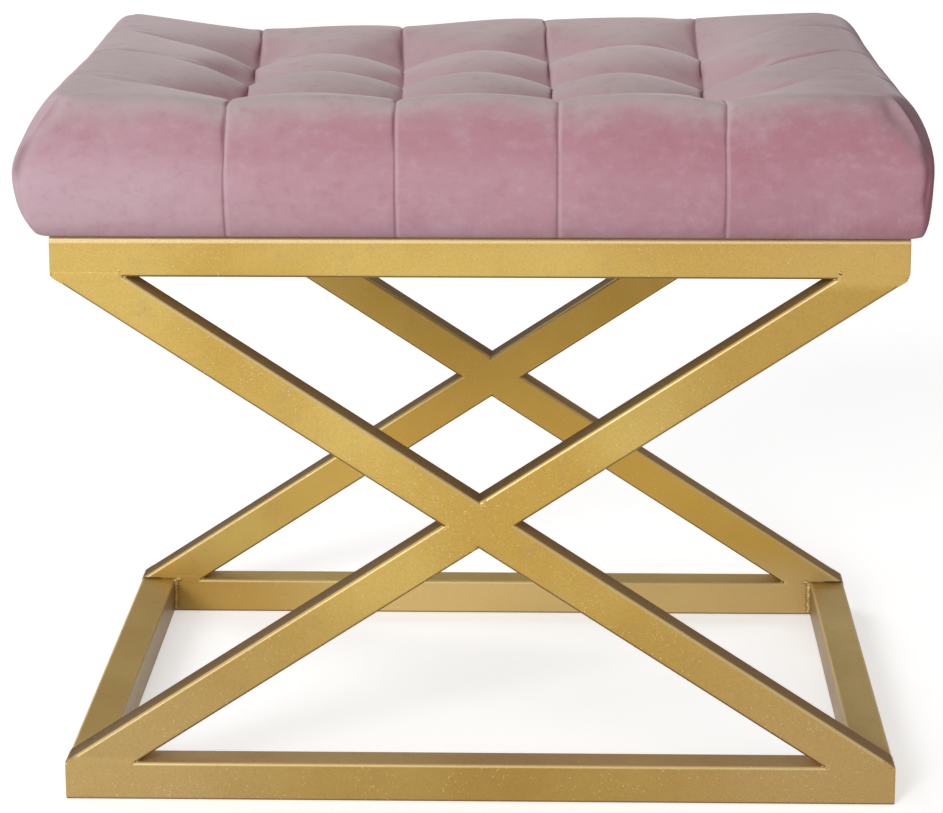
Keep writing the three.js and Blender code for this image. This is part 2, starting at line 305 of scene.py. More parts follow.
@dataclass(frozen=True)
class GoldPaint:
    """Gold lacquer with metal flake, sprayed on steel.

    The stretches over which its masks rise and fall are places in metres or, for a mask of the
    way a face looks, shares from -1 to 1. Many of its masks lay painted light and shade into its colour.
    """

    body: Colour = srgb(212, 181, 97)
    shade: Colour = srgb(197, 160, 74)
    dull: Colour = srgb(176, 150, 100)
    # Painted shade near the floor on forward faces, deeper in the middle and lighter towards the ends.
    low: Colour = srgb(150, 118, 60)
    low_ends: Colour = srgb(174, 146, 104)
    # Painted shade and reflection on faces that tilt up, darker where they face left.
    left_slopes: Colour = srgb(90, 63, 40)
    right_slopes: Colour = srgb(146, 110, 76)
    # Painted shade in the seam under the rear diagonals' ends.
    gap: Colour = srgb(58, 34, 20)
    # Painted shade on faces that look in towards the middle.
    inner: Colour = srgb(112, 88, 86)
    # Painted light on the rear frame's forward faces.
    warm_light: Colour = srgb(238, 190, 82)
    # Painted shade at the lower left of the rear frame's forward faces.
    ember_shade: Colour = srgb(176, 126, 54)
    # Painted reflection on the front bottom rail's top face.
    mauve: Colour = srgb(184, 150, 136)
    # Painted shade on the half diagonals' forward faces.
    dusk: Colour = srgb(150, 122, 74)
    # Pale tone, painted light on the rear bottom rail, the right bottom side rail's top and the top rails'
    # right part.
    pale: Colour = srgb(240, 210, 148)
    # Painted highlight on rounded edges that face up.
    rim: Colour = srgb(252, 230, 170)
    # Painted shade on rounded edges that face down.
    under_rim: Colour = srgb(104, 66, 28)
    # Metal flakes, painted as glints.
    flake: Colour = srgb(255, 240, 196)
    flakes_per_metre: float = 1150.0
    flake_share: float = 0.06
    peel_per_metre: float = 420.0
    crossing_height: float = 0.182

    def material(self) -> bpy.types.Material:
        """Builds the paint.

        Returns:
            The material.
        """
        graph = Graph(bpy.data.materials.new("gold_paint"))
        where = graph.place()
        along, depth, height = graph.axes(where)
        sideways, backward, upward = graph.facing()
        forward, from_middle, rim = -backward, along.larger(-along), graph.attribute("rim")
        front, rear = depth.falls(-0.21, -0.15), depth.steps(0.14, 0.2)
        frontal, right, raised = forward.steps(0.5, 0.9), along.steps(-0.2, -0.06), height.steps(0.02, 0.06)
        # Random clouds of the deeper tone, darker towards the right on forward faces and towards the left
        # on backward faces.
        clouds = (graph.noise(where, 8.0, 3.0) + along * forward * 0.6).steps(0.35, 0.63)
        dust = graph.noise(where, 55.0, 4.0, 0.65).steps(0.5, 0.85)
        # Painted shade: forward faces at the front darken towards the floor.
        low = height.falls(0.0, 0.2) * front * forward.steps(0.0, 0.5)
        low_shade_tone = graph.mix(from_middle.steps(0.08, 0.2), self.low, self.low_ends)
        # Painted light and shade on the rear frame's forward faces: warmer on the rear X's right and upper
        # left, paler on the bottom rail's right and middle, deeper on the bottom rail's left end.
        rear_right, rear_left = rear * frontal * right, rear * frontal * (1 - right)
        warm_light_share = raised * (0.45 + height.steps(0.2, 0.3) * 0.3)
        # Painted shade: the half diagonals' forward faces a little darker than the diagonal that runs
        # through.
        halves = (along * (height - self.crossing_height)).steps(0.002, 0.01) * front * frontal
        halves *= height.steps(0.026, 0.03) * height.falls(0.33, 0.337)
        # Painted reflection and light on the bottom rails' tops: the front rail's top greyed towards pink,
        # the right bottom side rail's top paler.
        low_tops = upward.steps(0.9, 0.98) * height.falls(0.03, 0.04)
        right_rail = along.steps(0.22, 0.24) * depth.falls(0.17, 0.18) * depth.steps(-0.18, -0.17)
        # Painted light: the top rails' forward faces paler towards the right.
        upper_right = height.steps(0.33, 0.34) * along.steps(0.0, 0.25) * frontal
        # Painted shade: faces that look in towards the middle turn darker.
        inward = -sideways * along
        # Painted shade and reflection: faces that tilt up turn dark brown, darker where they face left;
        # they are also rougher and less metallic.
        sloping = upward.steps(0.4, 0.75) * upward.falls(0.88, 0.98) * (1 - rim)
        slope_shading = graph.mix(sideways.steps(-0.4, 0.4), self.left_slopes, self.right_slopes)
        # Painted highlight: how strongly rounded edges that face up turn pale, most on the top rails and
        # where they face right.
        shine = 0.55 + height.steps(0.33, 0.35) * 0.45
        shine += height.steps(0.2, 0.3) * sideways.steps(0.1, 0.4) * 0.4
        # Painted highlight: a pale strip along the top of the front top rail's forward face.
        lip = (height - along * 0.0025).steps(0.3602, 0.3614) * forward.steps(0.1, 0.4)
        # Painted shade: a dark line on the rear frame's forward faces just above the side rails' tops.
        gap = height.steps(0.0246, 0.0252) * height.falls(0.0262, 0.0268) * depth.steps(0.15, 0.17)
        gap *= forward.steps(0.3, 0.7) * from_middle.steps(0.246, 0.25)
        coats = (
            (clouds, self.shade),
            (dust * 0.4, self.dull),
            (low * 0.6, low_shade_tone),
            (rear_right * warm_light_share, self.warm_light),
            (rear_right * (1 - raised) * 0.65, self.pale),
            (rear_left * (1 - raised) * 0.5, self.ember_shade),
            (rear_left * height.steps(0.22, 0.3) * 0.45, self.warm_light),
            (halves * 0.2, self.dusk),
            (low_tops * right_rail * 0.3, self.pale),
            (low_tops * depth.falls(-0.2, -0.18) * 0.35, self.mauve),
            (upper_right * 0.18, self.pale),
            (inward.steps(0.12, 0.2) * 0.5, self.inner),
            (sloping * 0.8, slope_shading),
            (rim * shine * upward.steps(-0.1, 0.25), self.rim),
            (lip * depth.falls(-0.21, -0.2) * 0.85, self.rim),
            # Painted shade: rounded edges that face down turn dark brown.
            (rim * (-upward).steps(0.1, 0.6) * 0.8, self.under_rim),
            (gap * 0.85, self.gap),
        )
        colour = graph.coats(self.body, coats)
        # Metal flakes, painted as glints: scattered cells take the pale tone and a glossier finish.
        cells = graph.node(
            "ShaderNodeTexVoronoi", {"feature": "F1"}, {"Vector": where, "Scale": self.flakes_per_metre}
        )
        chance = graph.add("ShaderNodeSeparateColor", {}, {0: cells.outputs["Color"]})
        lot = graph.noise(where, 30.0, 2.0).steps(0.3, 0.75) * self.flake_share
        spot = (chance + lot).steps(1.0, 1.0 + 0.4 * self.flake_share)
        sparkle = spot * (1 - Value(graph, cells.outputs["Distance"]).steps(0.2, 0.5))
        grain = graph.noise(where, 1500.0, 1.0)
        colour = graph.mix(grain.steps(0.35, 0.75) * 0.22, colour, self.dull, "MULTIPLY")
        colour = graph.mix(sparkle * 0.8, colour, self.flake)
        peel = graph.noise(where, self.peel_per_metre, 2.0)
        return graph.surface(
            Base_Color=colour,
            Metallic=0.35 - sloping * 0.3,
            Roughness=0.42 + dust * 0.12 - sparkle * 0.2 + sloping * 0.4,
            Specular_IOR_Level=0.35,
            Normal=graph.bump(peel + grain * 0.6, 0.14, 0.25 * MM),
        )


@dataclass(frozen=True)
class Velvet:
    """Pink velvet: a short pile, with painted light and shade in its colour.

    It is paler towards the left end and deeper towards the right end, painted light from the left;
    grey on faces that look up, a painted sheen; and pink again in the valleys around the tufts,
    painted shade. The stretches of its masks are given as those of the paint.
    """

    # Painted light from the left: the base tones run from pale at the left end through the middle to deep
    # at the right end.
    left: Colour = srgb(198, 168, 178)
    middle: Colour = srgb(188, 146, 156)
    right: Colour = srgb(181, 135, 146)
    deep: Colour = srgb(166, 104, 117)
    # Pale tone: random patches and flecks, and painted light on faces that look left and just right of each
    # seam.
    pale: Colour = srgb(204, 178, 186)
    # Painted sheen on faces that look up, paler towards the back, with painted shade at the right end.
    worn: Colour = srgb(187, 171, 170)
    worn_back: Colour = srgb(200, 182, 182)
    worn_right: Colour = srgb(163, 143, 144)
    # Painted shade in the sewn seams' grooves and the corner pleats' creases.
    seam_shade: Colour = srgb(122, 86, 94)
    shaded: Colour = srgb(116, 94, 97)
    # Painted shade: deeper pink around the tufts and on forward faces behind the front edge.
    valley: Colour = srgb(168, 112, 122)
    # Painted shade on faces that look right.
    rose_shade: Colour = srgb(146, 80, 94)
    # Painted shade low on the sides, where the cover turns under.
    tuck_shade: Colour = srgb(150, 112, 122)
    sheen: Colour = srgb(240, 230, 232)

    def material(self) -> bpy.types.Material:
        """Builds the velvet.

        Returns:
            The material.
        """
        graph = Graph(bpy.data.materials.new("velvet"))
        where = graph.place()
        along, depth, height = graph.axes(where)
        sideways, backward, upward = graph.facing()
        ruffled = graph.noise(where, 26.0, 5.0, 0.62)
        strokes = graph.noise(graph.place((0.7, 1.0, 2.0)), 11.0, 4.0, 0.6)
        flecks = graph.noise(graph.place((1.0, 1.0, 1.4)), 95.0, 7.0, 0.72)
        # Painted shade: a deeper tone on the upper part of the sides, just below the crest.
        shade_band = height.steps(0.402, 0.424) * height.falls(0.436, 0.449)
        # Painted sheen: faces that look up turn grey, paler towards the back, with painted shade at the
        # right end.
        grey = (upward + (ruffled - 0.5) * 0.45).steps(0.45, 0.95)
        worn = graph.mix(depth.steps(-0.03, 0.05), self.worn, self.worn_back)
        worn = graph.mix(along.steps(0.16, 0.25), worn, self.worn_right)
        # Painted shade: faces that look forward behind the front edge turn pinker, and so do the valleys
        # around the tufts, most where they face right.
        slope_shading = ((ruffled - 0.5) * 0.2 - backward).steps(0.1, 0.4) * depth.steps(-0.185, -0.14)
        valleys = graph.attribute("valley").steps(0.1, 0.7) * (0.4 + sideways * 0.9).steps(0.15, 0.7)
        shoulder = sideways.steps(0.25, 0.6) * upward.steps(0.25, 0.6) * along.steps(0.2, 0.25)
        # Painted shade along the sewn seams and in the corner pleats' creases.
        pleat = graph.attribute("corner").steps(0.85, 1.0)
        pleat *= height.steps(0.398, 0.41) * height.falls(0.418, 0.43)
        seam_shading = graph.attribute("seam").steps(0.35, 1.0).larger(pleat * 0.8)
        coats = (
            # Painted light from the left: paler at the left end, deeper towards the right end.
            (along.steps(-0.29, -0.06), self.middle),
            (along.steps(-0.02, 0.2), self.right),
            (strokes.steps(0.5, 0.75) * 0.32, self.deep),
            (ruffled.steps(0.5, 0.8) * 0.4, self.pale),
            (shade_band * 0.3, self.deep),
            (grey * 0.9, worn),
            (flecks.steps(0.5, 0.7) * 0.24, self.deep),
            (flecks.falls(0.32, 0.5) * 0.2, self.pale),
            (slope_shading * 0.4, self.valley),
            (valleys * 0.8, self.valley),
            # Painted light from the left: faces that look right turn a deep pink, faces that look left turn
            # pale, and the right end's upper faces that look right are shaded.
            (sideways.steps(0.3, 0.9) * 0.85, self.rose_shade),
            ((-sideways).steps(0.1, 0.65) * 0.5, self.pale),
            (shoulder * 0.6, self.shaded),
            # Painted shade: darker low down, where the cover turns under.
            (height.falls(0.366, 0.379) * 0.35, self.tuck_shade),
            (seam_shading * 0.6, self.seam_shade),
            # Painted highlight just right of each seam.
            (graph.attribute("lip").steps(0.3, 1.0) * 0.3, self.pale),
        )
        pile = graph.noise(where, 1500.0, 2.0)
        ruffle = graph.noise(where, 110.0, 4.0, 0.6)
        gathers = graph.noise(graph.place((1.0, 1.0, 0.1)), 120.0, 2.0) * height.falls(0.37, 0.4)
        gathers *= 1 + along.steps(0.1, 0.2) * 1.2
        normal = graph.bump(pile, 0.3, 0.25 * MM)
        normal = graph.bump(gathers, 0.5, 1.6 * MM, normal)
        return graph.surface(
            Base_Color=graph.coats(self.left, coats),
            Roughness=0.95,
            Specular_IOR_Level=0.05,
            Sheen_Weight=0.3,
            Sheen_Roughness=0.4,
            Sheen_Tint=self.sheen,
            Normal=graph.bump(ruffle, 0.2, 0.8 * MM, normal),
        )


@dataclass(frozen=True)
class Plain:
    """A simple finish: one colour with mottling and a fine bump."""

    name: str
    colour: Colour
    mottle: Colour
    mottles_per_metre: float
    grains_per_metre: float
    grain_height: float
    roughness: float = 0.8
    metallic: float = 0.0
    stretch: Place = (1, 1, 1)

    def material(self) -> bpy.types.Material:
        """Builds the finish.

        Returns:
            The material.
        """
        graph = Graph(bpy.data.materials.new(self.name))
        where = graph.place(self.stretch)
        cloud = graph.noise(where, self.mottles_per_metre, 4.0, 0.6).steps(0.35, 0.65)
        grain = graph.noise(where, self.grains_per_metre, 3.0, 0.6)
        return graph.surface(
            Base_Color=graph.mix(cloud, self.colour, self.mottle),
            Roughness=self.roughness - 0.1 + grain * 0.2,
            Metallic=self.metallic,
            Normal=graph.bump(grain, 0.5, self.grain_height),
        )


FINISHES: dict[Slot, Any] = {
    Slot.GOLD_PAINT: GoldPaint(),
    Slot.VELVET: Velvet(),
    Slot.ZINC: Plain(
        "zinc", srgb(190, 192, 194), srgb(160, 163, 168), 300, 1500, 0.05 * MM, 0.35, 0.95
    ),
    Slot.FOAM: Plain("foam", srgb(233, 223, 184), srgb(222, 208, 160), 60, 900, 0.6 * MM, 0.95),
    Slot.PLYWOOD: Plain(
        "plywood", srgb(204, 170, 122), srgb(178, 140, 94), 18, 160, 0.2 * MM, 0.75, 0.0, (0.15, 1, 1)
    ),
    Slot.LINING: Plain("lining", srgb(34, 34, 36), srgb(24, 24, 26), 120, 1300, 0.25 * MM, 0.9),
    Slot.TWINE: Plain("twine", srgb(230, 224, 210), srgb(206, 198, 180), 200, 1400, 0.2 * MM, 0.9),
}


class Workshop:
    """Turns finished meshes into pieces of the stool, each with its finish."""

    def __init__(self) -> None:
        """Mixes every finish once."""
        self.materials = {slot: finish.material() for slot, finish in FINISHES.items()}

    def piece(
        self, name: str, mesh: bmesh.types.BMesh, slot: Slot, stands_for: Sequence[str] = ()
    ) -> bpy.types.Object:
        """Makes a piece of a finished bmesh and frees the bmesh.

        Args:
            name: The piece's name.
            mesh: Its shape, in place.
            slot: The finish that it takes.
            stands_for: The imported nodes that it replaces.

        Returns:
            The piece's object.
        """
        settle_order(mesh)
        data = bpy.data.meshes.new(name)
        mesh.to_mesh(data)
        mesh.free()
        data.materials.append(self.materials[slot])
        made = bpy.data.objects.new(name, data)
        bpy.context.scene.collection.objects.link(made)
        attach(made, ROOT)
        if stands_for:
            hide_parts(*stands_for)
        log.info("%s: %d faces, %s", name, len(data.polygons), slot.value)
        return made

    def smooth(self, made: bpy.types.Object, angle: float = math.radians(32)) -> None:
        """Shades a piece smooth, with sharp edges above an angle and flat faces kept flat."""
        made.data.shade_smooth()
        made.data.set_sharp_from_angle(angle=angle)
        weighted = made.modifiers.new("flat_faces", "WEIGHTED_NORMAL")
        weighted.keep_sharp = True

    def dress_nodes(self) -> None:
        """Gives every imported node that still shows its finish."""
        slots = {part["node"]: Slot(part["material_slot"]) for part in frame["record"]["subparts"]}
        for name, node in frame["nodes"].items():
            node.data.materials.clear()
            node.data.materials.append(self.materials[slots[name]])


def move(mesh: bmesh.types.BMesh, by: Place | Vector) -> None:
    """Moves a whole shape."""
    bmesh.ops.translate(mesh, verts=mesh.verts[:], vec=by)


def turn(mesh: bmesh.types.BMesh, angle: float, axis: str) -> None:
    """Turns a whole shape around an axis of the frame."""
    bmesh.ops.rotate(mesh, verts=mesh.verts[:], matrix=Matrix.Rotation(angle, 3, axis))


def face_outwards(mesh: bmesh.types.BMesh) -> None:
    """Points every face of a closed shape outwards."""
    bmesh.ops.recalc_face_normals(mesh, faces=mesh.faces[:])


def bevel(
    mesh: bmesh.types.BMesh, geom: Sequence[Any], offset: float, segments: int, affect: str = "EDGES"
) -> list[bmesh.types.BMVert]:
    """Rounds edges or corners.

    Args:
        mesh: Holds them.
        geom: The edges or the vertices.
        offset: How far the rounding reaches.
        segments: Its facets.
        affect: Whether it rounds edges or vertices.

    Returns:
        The new vertices.
    """
    return bmesh.ops.bevel(
        mesh, geom=geom, offset=offset, segments=segments, profile=0.5, affect=affect, material=-1
    )["verts"]


def extrude_rim(
    mesh: bmesh.types.BMesh, rim: Sequence[bmesh.types.BMEdge]
) -> tuple[list[bmesh.types.BMEdge], list[bmesh.types.BMVert]]:
    """Extrudes the rim of an open shape.

    Args:
        mesh: The shape.
        rim: The edges of its rim.

    Returns:
        The new rim's edges and its vertices.
    """
    grown = bmesh.ops.extrude_edge_only(mesh, edges=rim)["geom"]
    edges = [item for item in grown if isinstance(item, bmesh.types.BMEdge) and item.is_boundary]
    mesh.verts.index_update()
    edges.sort(key=corner_indices)
    return edges, list({vert for edge in edges for vert in edge.verts})


def extrude_faces(mesh: bmesh.types.BMesh, faces: Sequence[bmesh.types.BMFace], by: Place | Vector) -> None:
    """Gives a thickness to faces by extruding them along a vector."""
    grown = bmesh.ops.extrude_face_region(mesh, geom=faces)["geom"]
    moved = [item for item in grown if isinstance(item, bmesh.types.BMVert)]
    bmesh.ops.translate(mesh, verts=moved, vec=by)


def rounded_bar(side: float, radius: float, length: float, segments: int = 6) -> bmesh.types.BMesh:
    """A square bar with rounded long edges, along X and centred on the origin.

    The float layer rim is 1 in the middle of each rounded edge and 0 on the faces.

    Args:
        side: The width of its faces.
        radius: The radius of its long edges.
        length: Its length.
        segments: Facets of each rounded edge.

    Returns:
        The bar's bmesh.
    """
    bar = bmesh.new()
    bmesh.ops.create_grid(bar, x_segments=1, y_segments=1, size=side / 2)
    bevel(bar, bar.verts[:], radius, segments, "VERTICES")
    rim = bar.verts.layers.float.new("rim")
    for vert in bar.verts:
        across, up = (side / 2 - abs(share) for share in vert.co.xy)
        vert[rim] = min(1.0, 1.7 * max(0.0, 1 - abs(across - up) / radius))
    extrude_faces(bar, bar.faces[:], (0, 0, length))
    move(bar, (0, 0, -length / 2))
    turn(bar, math.pi / 2, "Y")
    face_outwards(bar)
    return bar


def saw(bar: bmesh.types.BMesh, point: Vector, beyond: Vector) -> None:
    """Saws a closed shape at a plane and closes the cut.

    Args:
        bar: The shape.
        point: A point of the plane.
        beyond: The plane's normal, towards the waste.
    """
    everything = bar.verts[:] + bar.edges[:] + bar.faces[:]
    cut = bmesh.ops.bisect_plane(bar, geom=everything, plane_co=point, plane_no=beyond, clear_outer=True)
    edges = [item for item in cut["geom_cut"] if isinstance(item, bmesh.types.BMEdge)]
    if edges:
        bmesh.ops.contextual_create(bar, geom=edges)
        face_outwards(bar)


def join(mesh: bmesh.types.BMesh, part: bmesh.types.BMesh) -> None:
    """Adds a finished part to a mesh and frees the part."""
    data = bpy.data.meshes.new("part")
    part.to_mesh(data)
    part.free()
    mesh.from_mesh(data)
    bpy.data.meshes.remove(data)


def swept(rings: int, facets: int, place: Callable[[float, Vector], Vector]) -> bmesh.types.BMesh:
    """A closed tube that is extruded ring by ring and then bent into its place.

    Args:
        rings: How many times it is extruded.
        facets: Its sides.
        place: Gives a vertex its place from its share of the way and its spot on the unit rim.

    Returns:
        The tube's bmesh.
    """
    tube = bmesh.new()
    bmesh.ops.create_circle(tube, segments=facets, radius=1)
    rim = tube.edges[:]
    bmesh.ops.contextual_create(tube, geom=rim)
    for _ in range(rings):
        rim, tops = extrude_rim(tube, rim)
        bmesh.ops.translate(tube, verts=tops, vec=(0, 0, 1))
    bmesh.ops.contextual_create(tube, geom=rim)
    for vert in tube.verts:
        vert.co = place(vert.co.z / rings, Vector((vert.co.x, vert.co.y, 0)))
    face_outwards(tube)
    if tube.calc_volume(signed=True) < 0:
        bmesh.ops.reverse_faces(tube, faces=tube.faces[:])
    return tube


@dataclass(frozen=True)
class GroundCorner:
    """An outer corner of the front top rail that was ground round after welding."""

    end: int
    radius: float
    bars: tuple[str, ...]


@dataclass
class TubeFrame:
    """The welded frame: two X frames of square tube and the side rails between them."""

    shop: Workshop
    corner_radius: float = 2.2 * MM
    plate_edge: float = 0.8 * MM
    sawn_edge: float = 1.5 * MM
    ground_corners: tuple[GroundCorner, ...] = (
        GroundCorner(-1, 4.5 * MM, ("front_top_rail", "front_top_left_end_plate", "front_long_diagonal")),
        GroundCorner(
            1, 10 * MM, ("front_top_rail", "front_top_right_end_plate", "front_upper_half_diagonal")
        ),
    )
    grinding_cuts: int = 5
    tube: float = field(init=False)
    half_width: float = field(init=False)
    half_depth: float = field(init=False)
    height: float = field(init=False)
    slope: float = field(init=False)

    def __post_init__(self) -> None:
        """Takes the frame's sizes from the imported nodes."""
        low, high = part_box("front_bottom_rail")
        self.tube = high[2] - low[2]
        self.half_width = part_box("front_bottom_right_end_plate")[1][0]
        self.half_depth = -low[1]
        self.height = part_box("front_top_rail")[1][2]
        clear = self.height - 2 * self.tube
        span = 2 * self.half_width
        self.slope = math.atan2(clear, span) + math.asin(self.tube / math.hypot(span, clear))

    @property
    def foot(self) -> float:
        """How much of a rail a diagonal's sawn end covers."""
        return self.tube / math.sin(self.slope)

    def build(self) -> None:
        """Builds every tube and plate."""
        for side in Side:
            self.build_rails(side)
            self.build_diagonals(side)
        self.build_side_rails()

    @property
    def levels(self) -> dict[str, float]:
        """Z of the middle of the bottom and of the top rails."""
        return {"bottom": self.tube / 2, "top": self.height - self.tube / 2}

    @property
    def seams(self) -> tuple[tuple[float, int], ...]:
        """Z of the faces that the diagonals stand on, each with the sign of Z towards the X."""
        return (self.tube, 1), (self.height - self.tube, -1)

    def paint(self, bar: bmesh.types.BMesh, name: str, ending: str = "tube") -> None:
        """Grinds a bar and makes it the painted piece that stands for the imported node."""
        self.grind(bar, name)
        self.shop.smooth(self.shop.piece(f"{name}_{ending}", bar, Slot.GOLD_PAINT, [name]))

    def side_y(self, side: Side) -> float:
        """Y of the middle of an X frame."""
        return side.sign * (self.half_depth - self.tube / 2)

    def grind(self, bar: bmesh.types.BMesh, name: str) -> None:
        """Grinds the top rail's outer corners round on the bars that meet there."""
        for corner in self.ground_corners:
            if name not in corner.bars:
                continue
            turn = self.slope - math.pi / 2
            bulge = corner.radius / math.cos(turn / 2)
            at = Vector((self.half_width, 0, self.height - self.tube))
            middle = at - bulge * Vector((math.cos(turn / 2), 0, math.sin(turn / 2)))
            for cut in range(1, self.grinding_cuts + 1):
                angle = turn * cut / (self.grinding_cuts + 1)
                out = Vector((math.cos(angle), 0, math.sin(angle)))
                point = middle + out * corner.radius
                mirrored = Vector((corner.end, 1, 1))
                saw(bar, point * mirrored, out * mirrored)

    def build_rails(self, side: Side) -> None:
        """The two long rails of an X frame with the plates on their ends."""
        for level, z in self.levels.items():
            rail = f"{side.label}_{level}_rail"
            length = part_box(rail)[1][0] * 2
            thickness = self.half_width - length / 2
            bar = rounded_bar(self.tube, self.corner_radius, length)
            move(bar, (0, self.side_y(side), z))
            self.paint(bar, rail)
            for end, sign in ENDS.items():
                plate = rounded_bar(self.tube, self.corner_radius, thickness)
                edge = [e for e in plate.edges if all(v.co.x * sign > 0 for v in e.verts)]
                bevel(plate, edge, self.plate_edge, 3)
                move(plate, (sign * (self.half_width - thickness / 2), self.side_y(side), z))
                self.paint(plate, f"{side.label}_{level}_{end}_end_plate", "ground")

    def build_diagonals(self, side: Side) -> None:
        """The diagonal that runs through and the two halves that butt against it."""
        place = Vector((0, self.side_y(side), self.height / 2))
        slope = side.hand * self.slope
        flank = Vector((math.sin(slope), 0, math.cos(slope)))
        for name, angle, halves in (
            ("long_diagonal", slope, 0),
            ("upper_half_diagonal", -slope, 1),
            ("lower_half_diagonal", -slope, -1),
        ):
            bar = rounded_bar(self.tube, self.corner_radius, 4 * self.half_width)
            turn(bar, angle, "Y")
            move(bar, place)
            for level, beyond in ((self.height - self.tube, 1), (self.tube, -1)):
                saw(bar, Vector((0, 0, level)), Vector((0, 0, beyond)))
                self.break_edge(bar, level)
            if halves:
                saw(bar, place + flank * (halves * self.tube / 2), flank * -halves)
            self.paint(bar, f"{side.label}_{name}")

    def break_edge(self, bar: bmesh.types.BMesh, level: float) -> None:
        """Breaks the sharp edge around a sawn end that lies at a level."""
        edge = [e for e in bar.edges if all(abs(v.co.z - level) < 0.01 * MM for v in e.verts)]
        rim = bar.verts.layers.float["rim"]
        # On the lower ends the rounding takes the full rim value, for the paint's painted highlight and
        # painted shade.
        for vert in bevel(bar, edge, self.sawn_edge, 2):
            if level < self.height / 2 and max(e.calc_length() for e in vert.link_edges) < self.foot:
                vert[rim] = 1.0

    def build_side_rails(self) -> None:
        """The four side rails between the X frames."""
        length = 2 * (self.half_depth - self.tube)
        for end, sign in ENDS.items():
            for level, z in self.levels.items():
                bar = rounded_bar(self.tube, self.corner_radius, length)
                turn(bar, math.pi / 2, "Z")
                move(bar, (sign * (self.half_width - self.tube / 2), 0, z))
                self.paint(bar, f"{end}_{level}_side_rail")


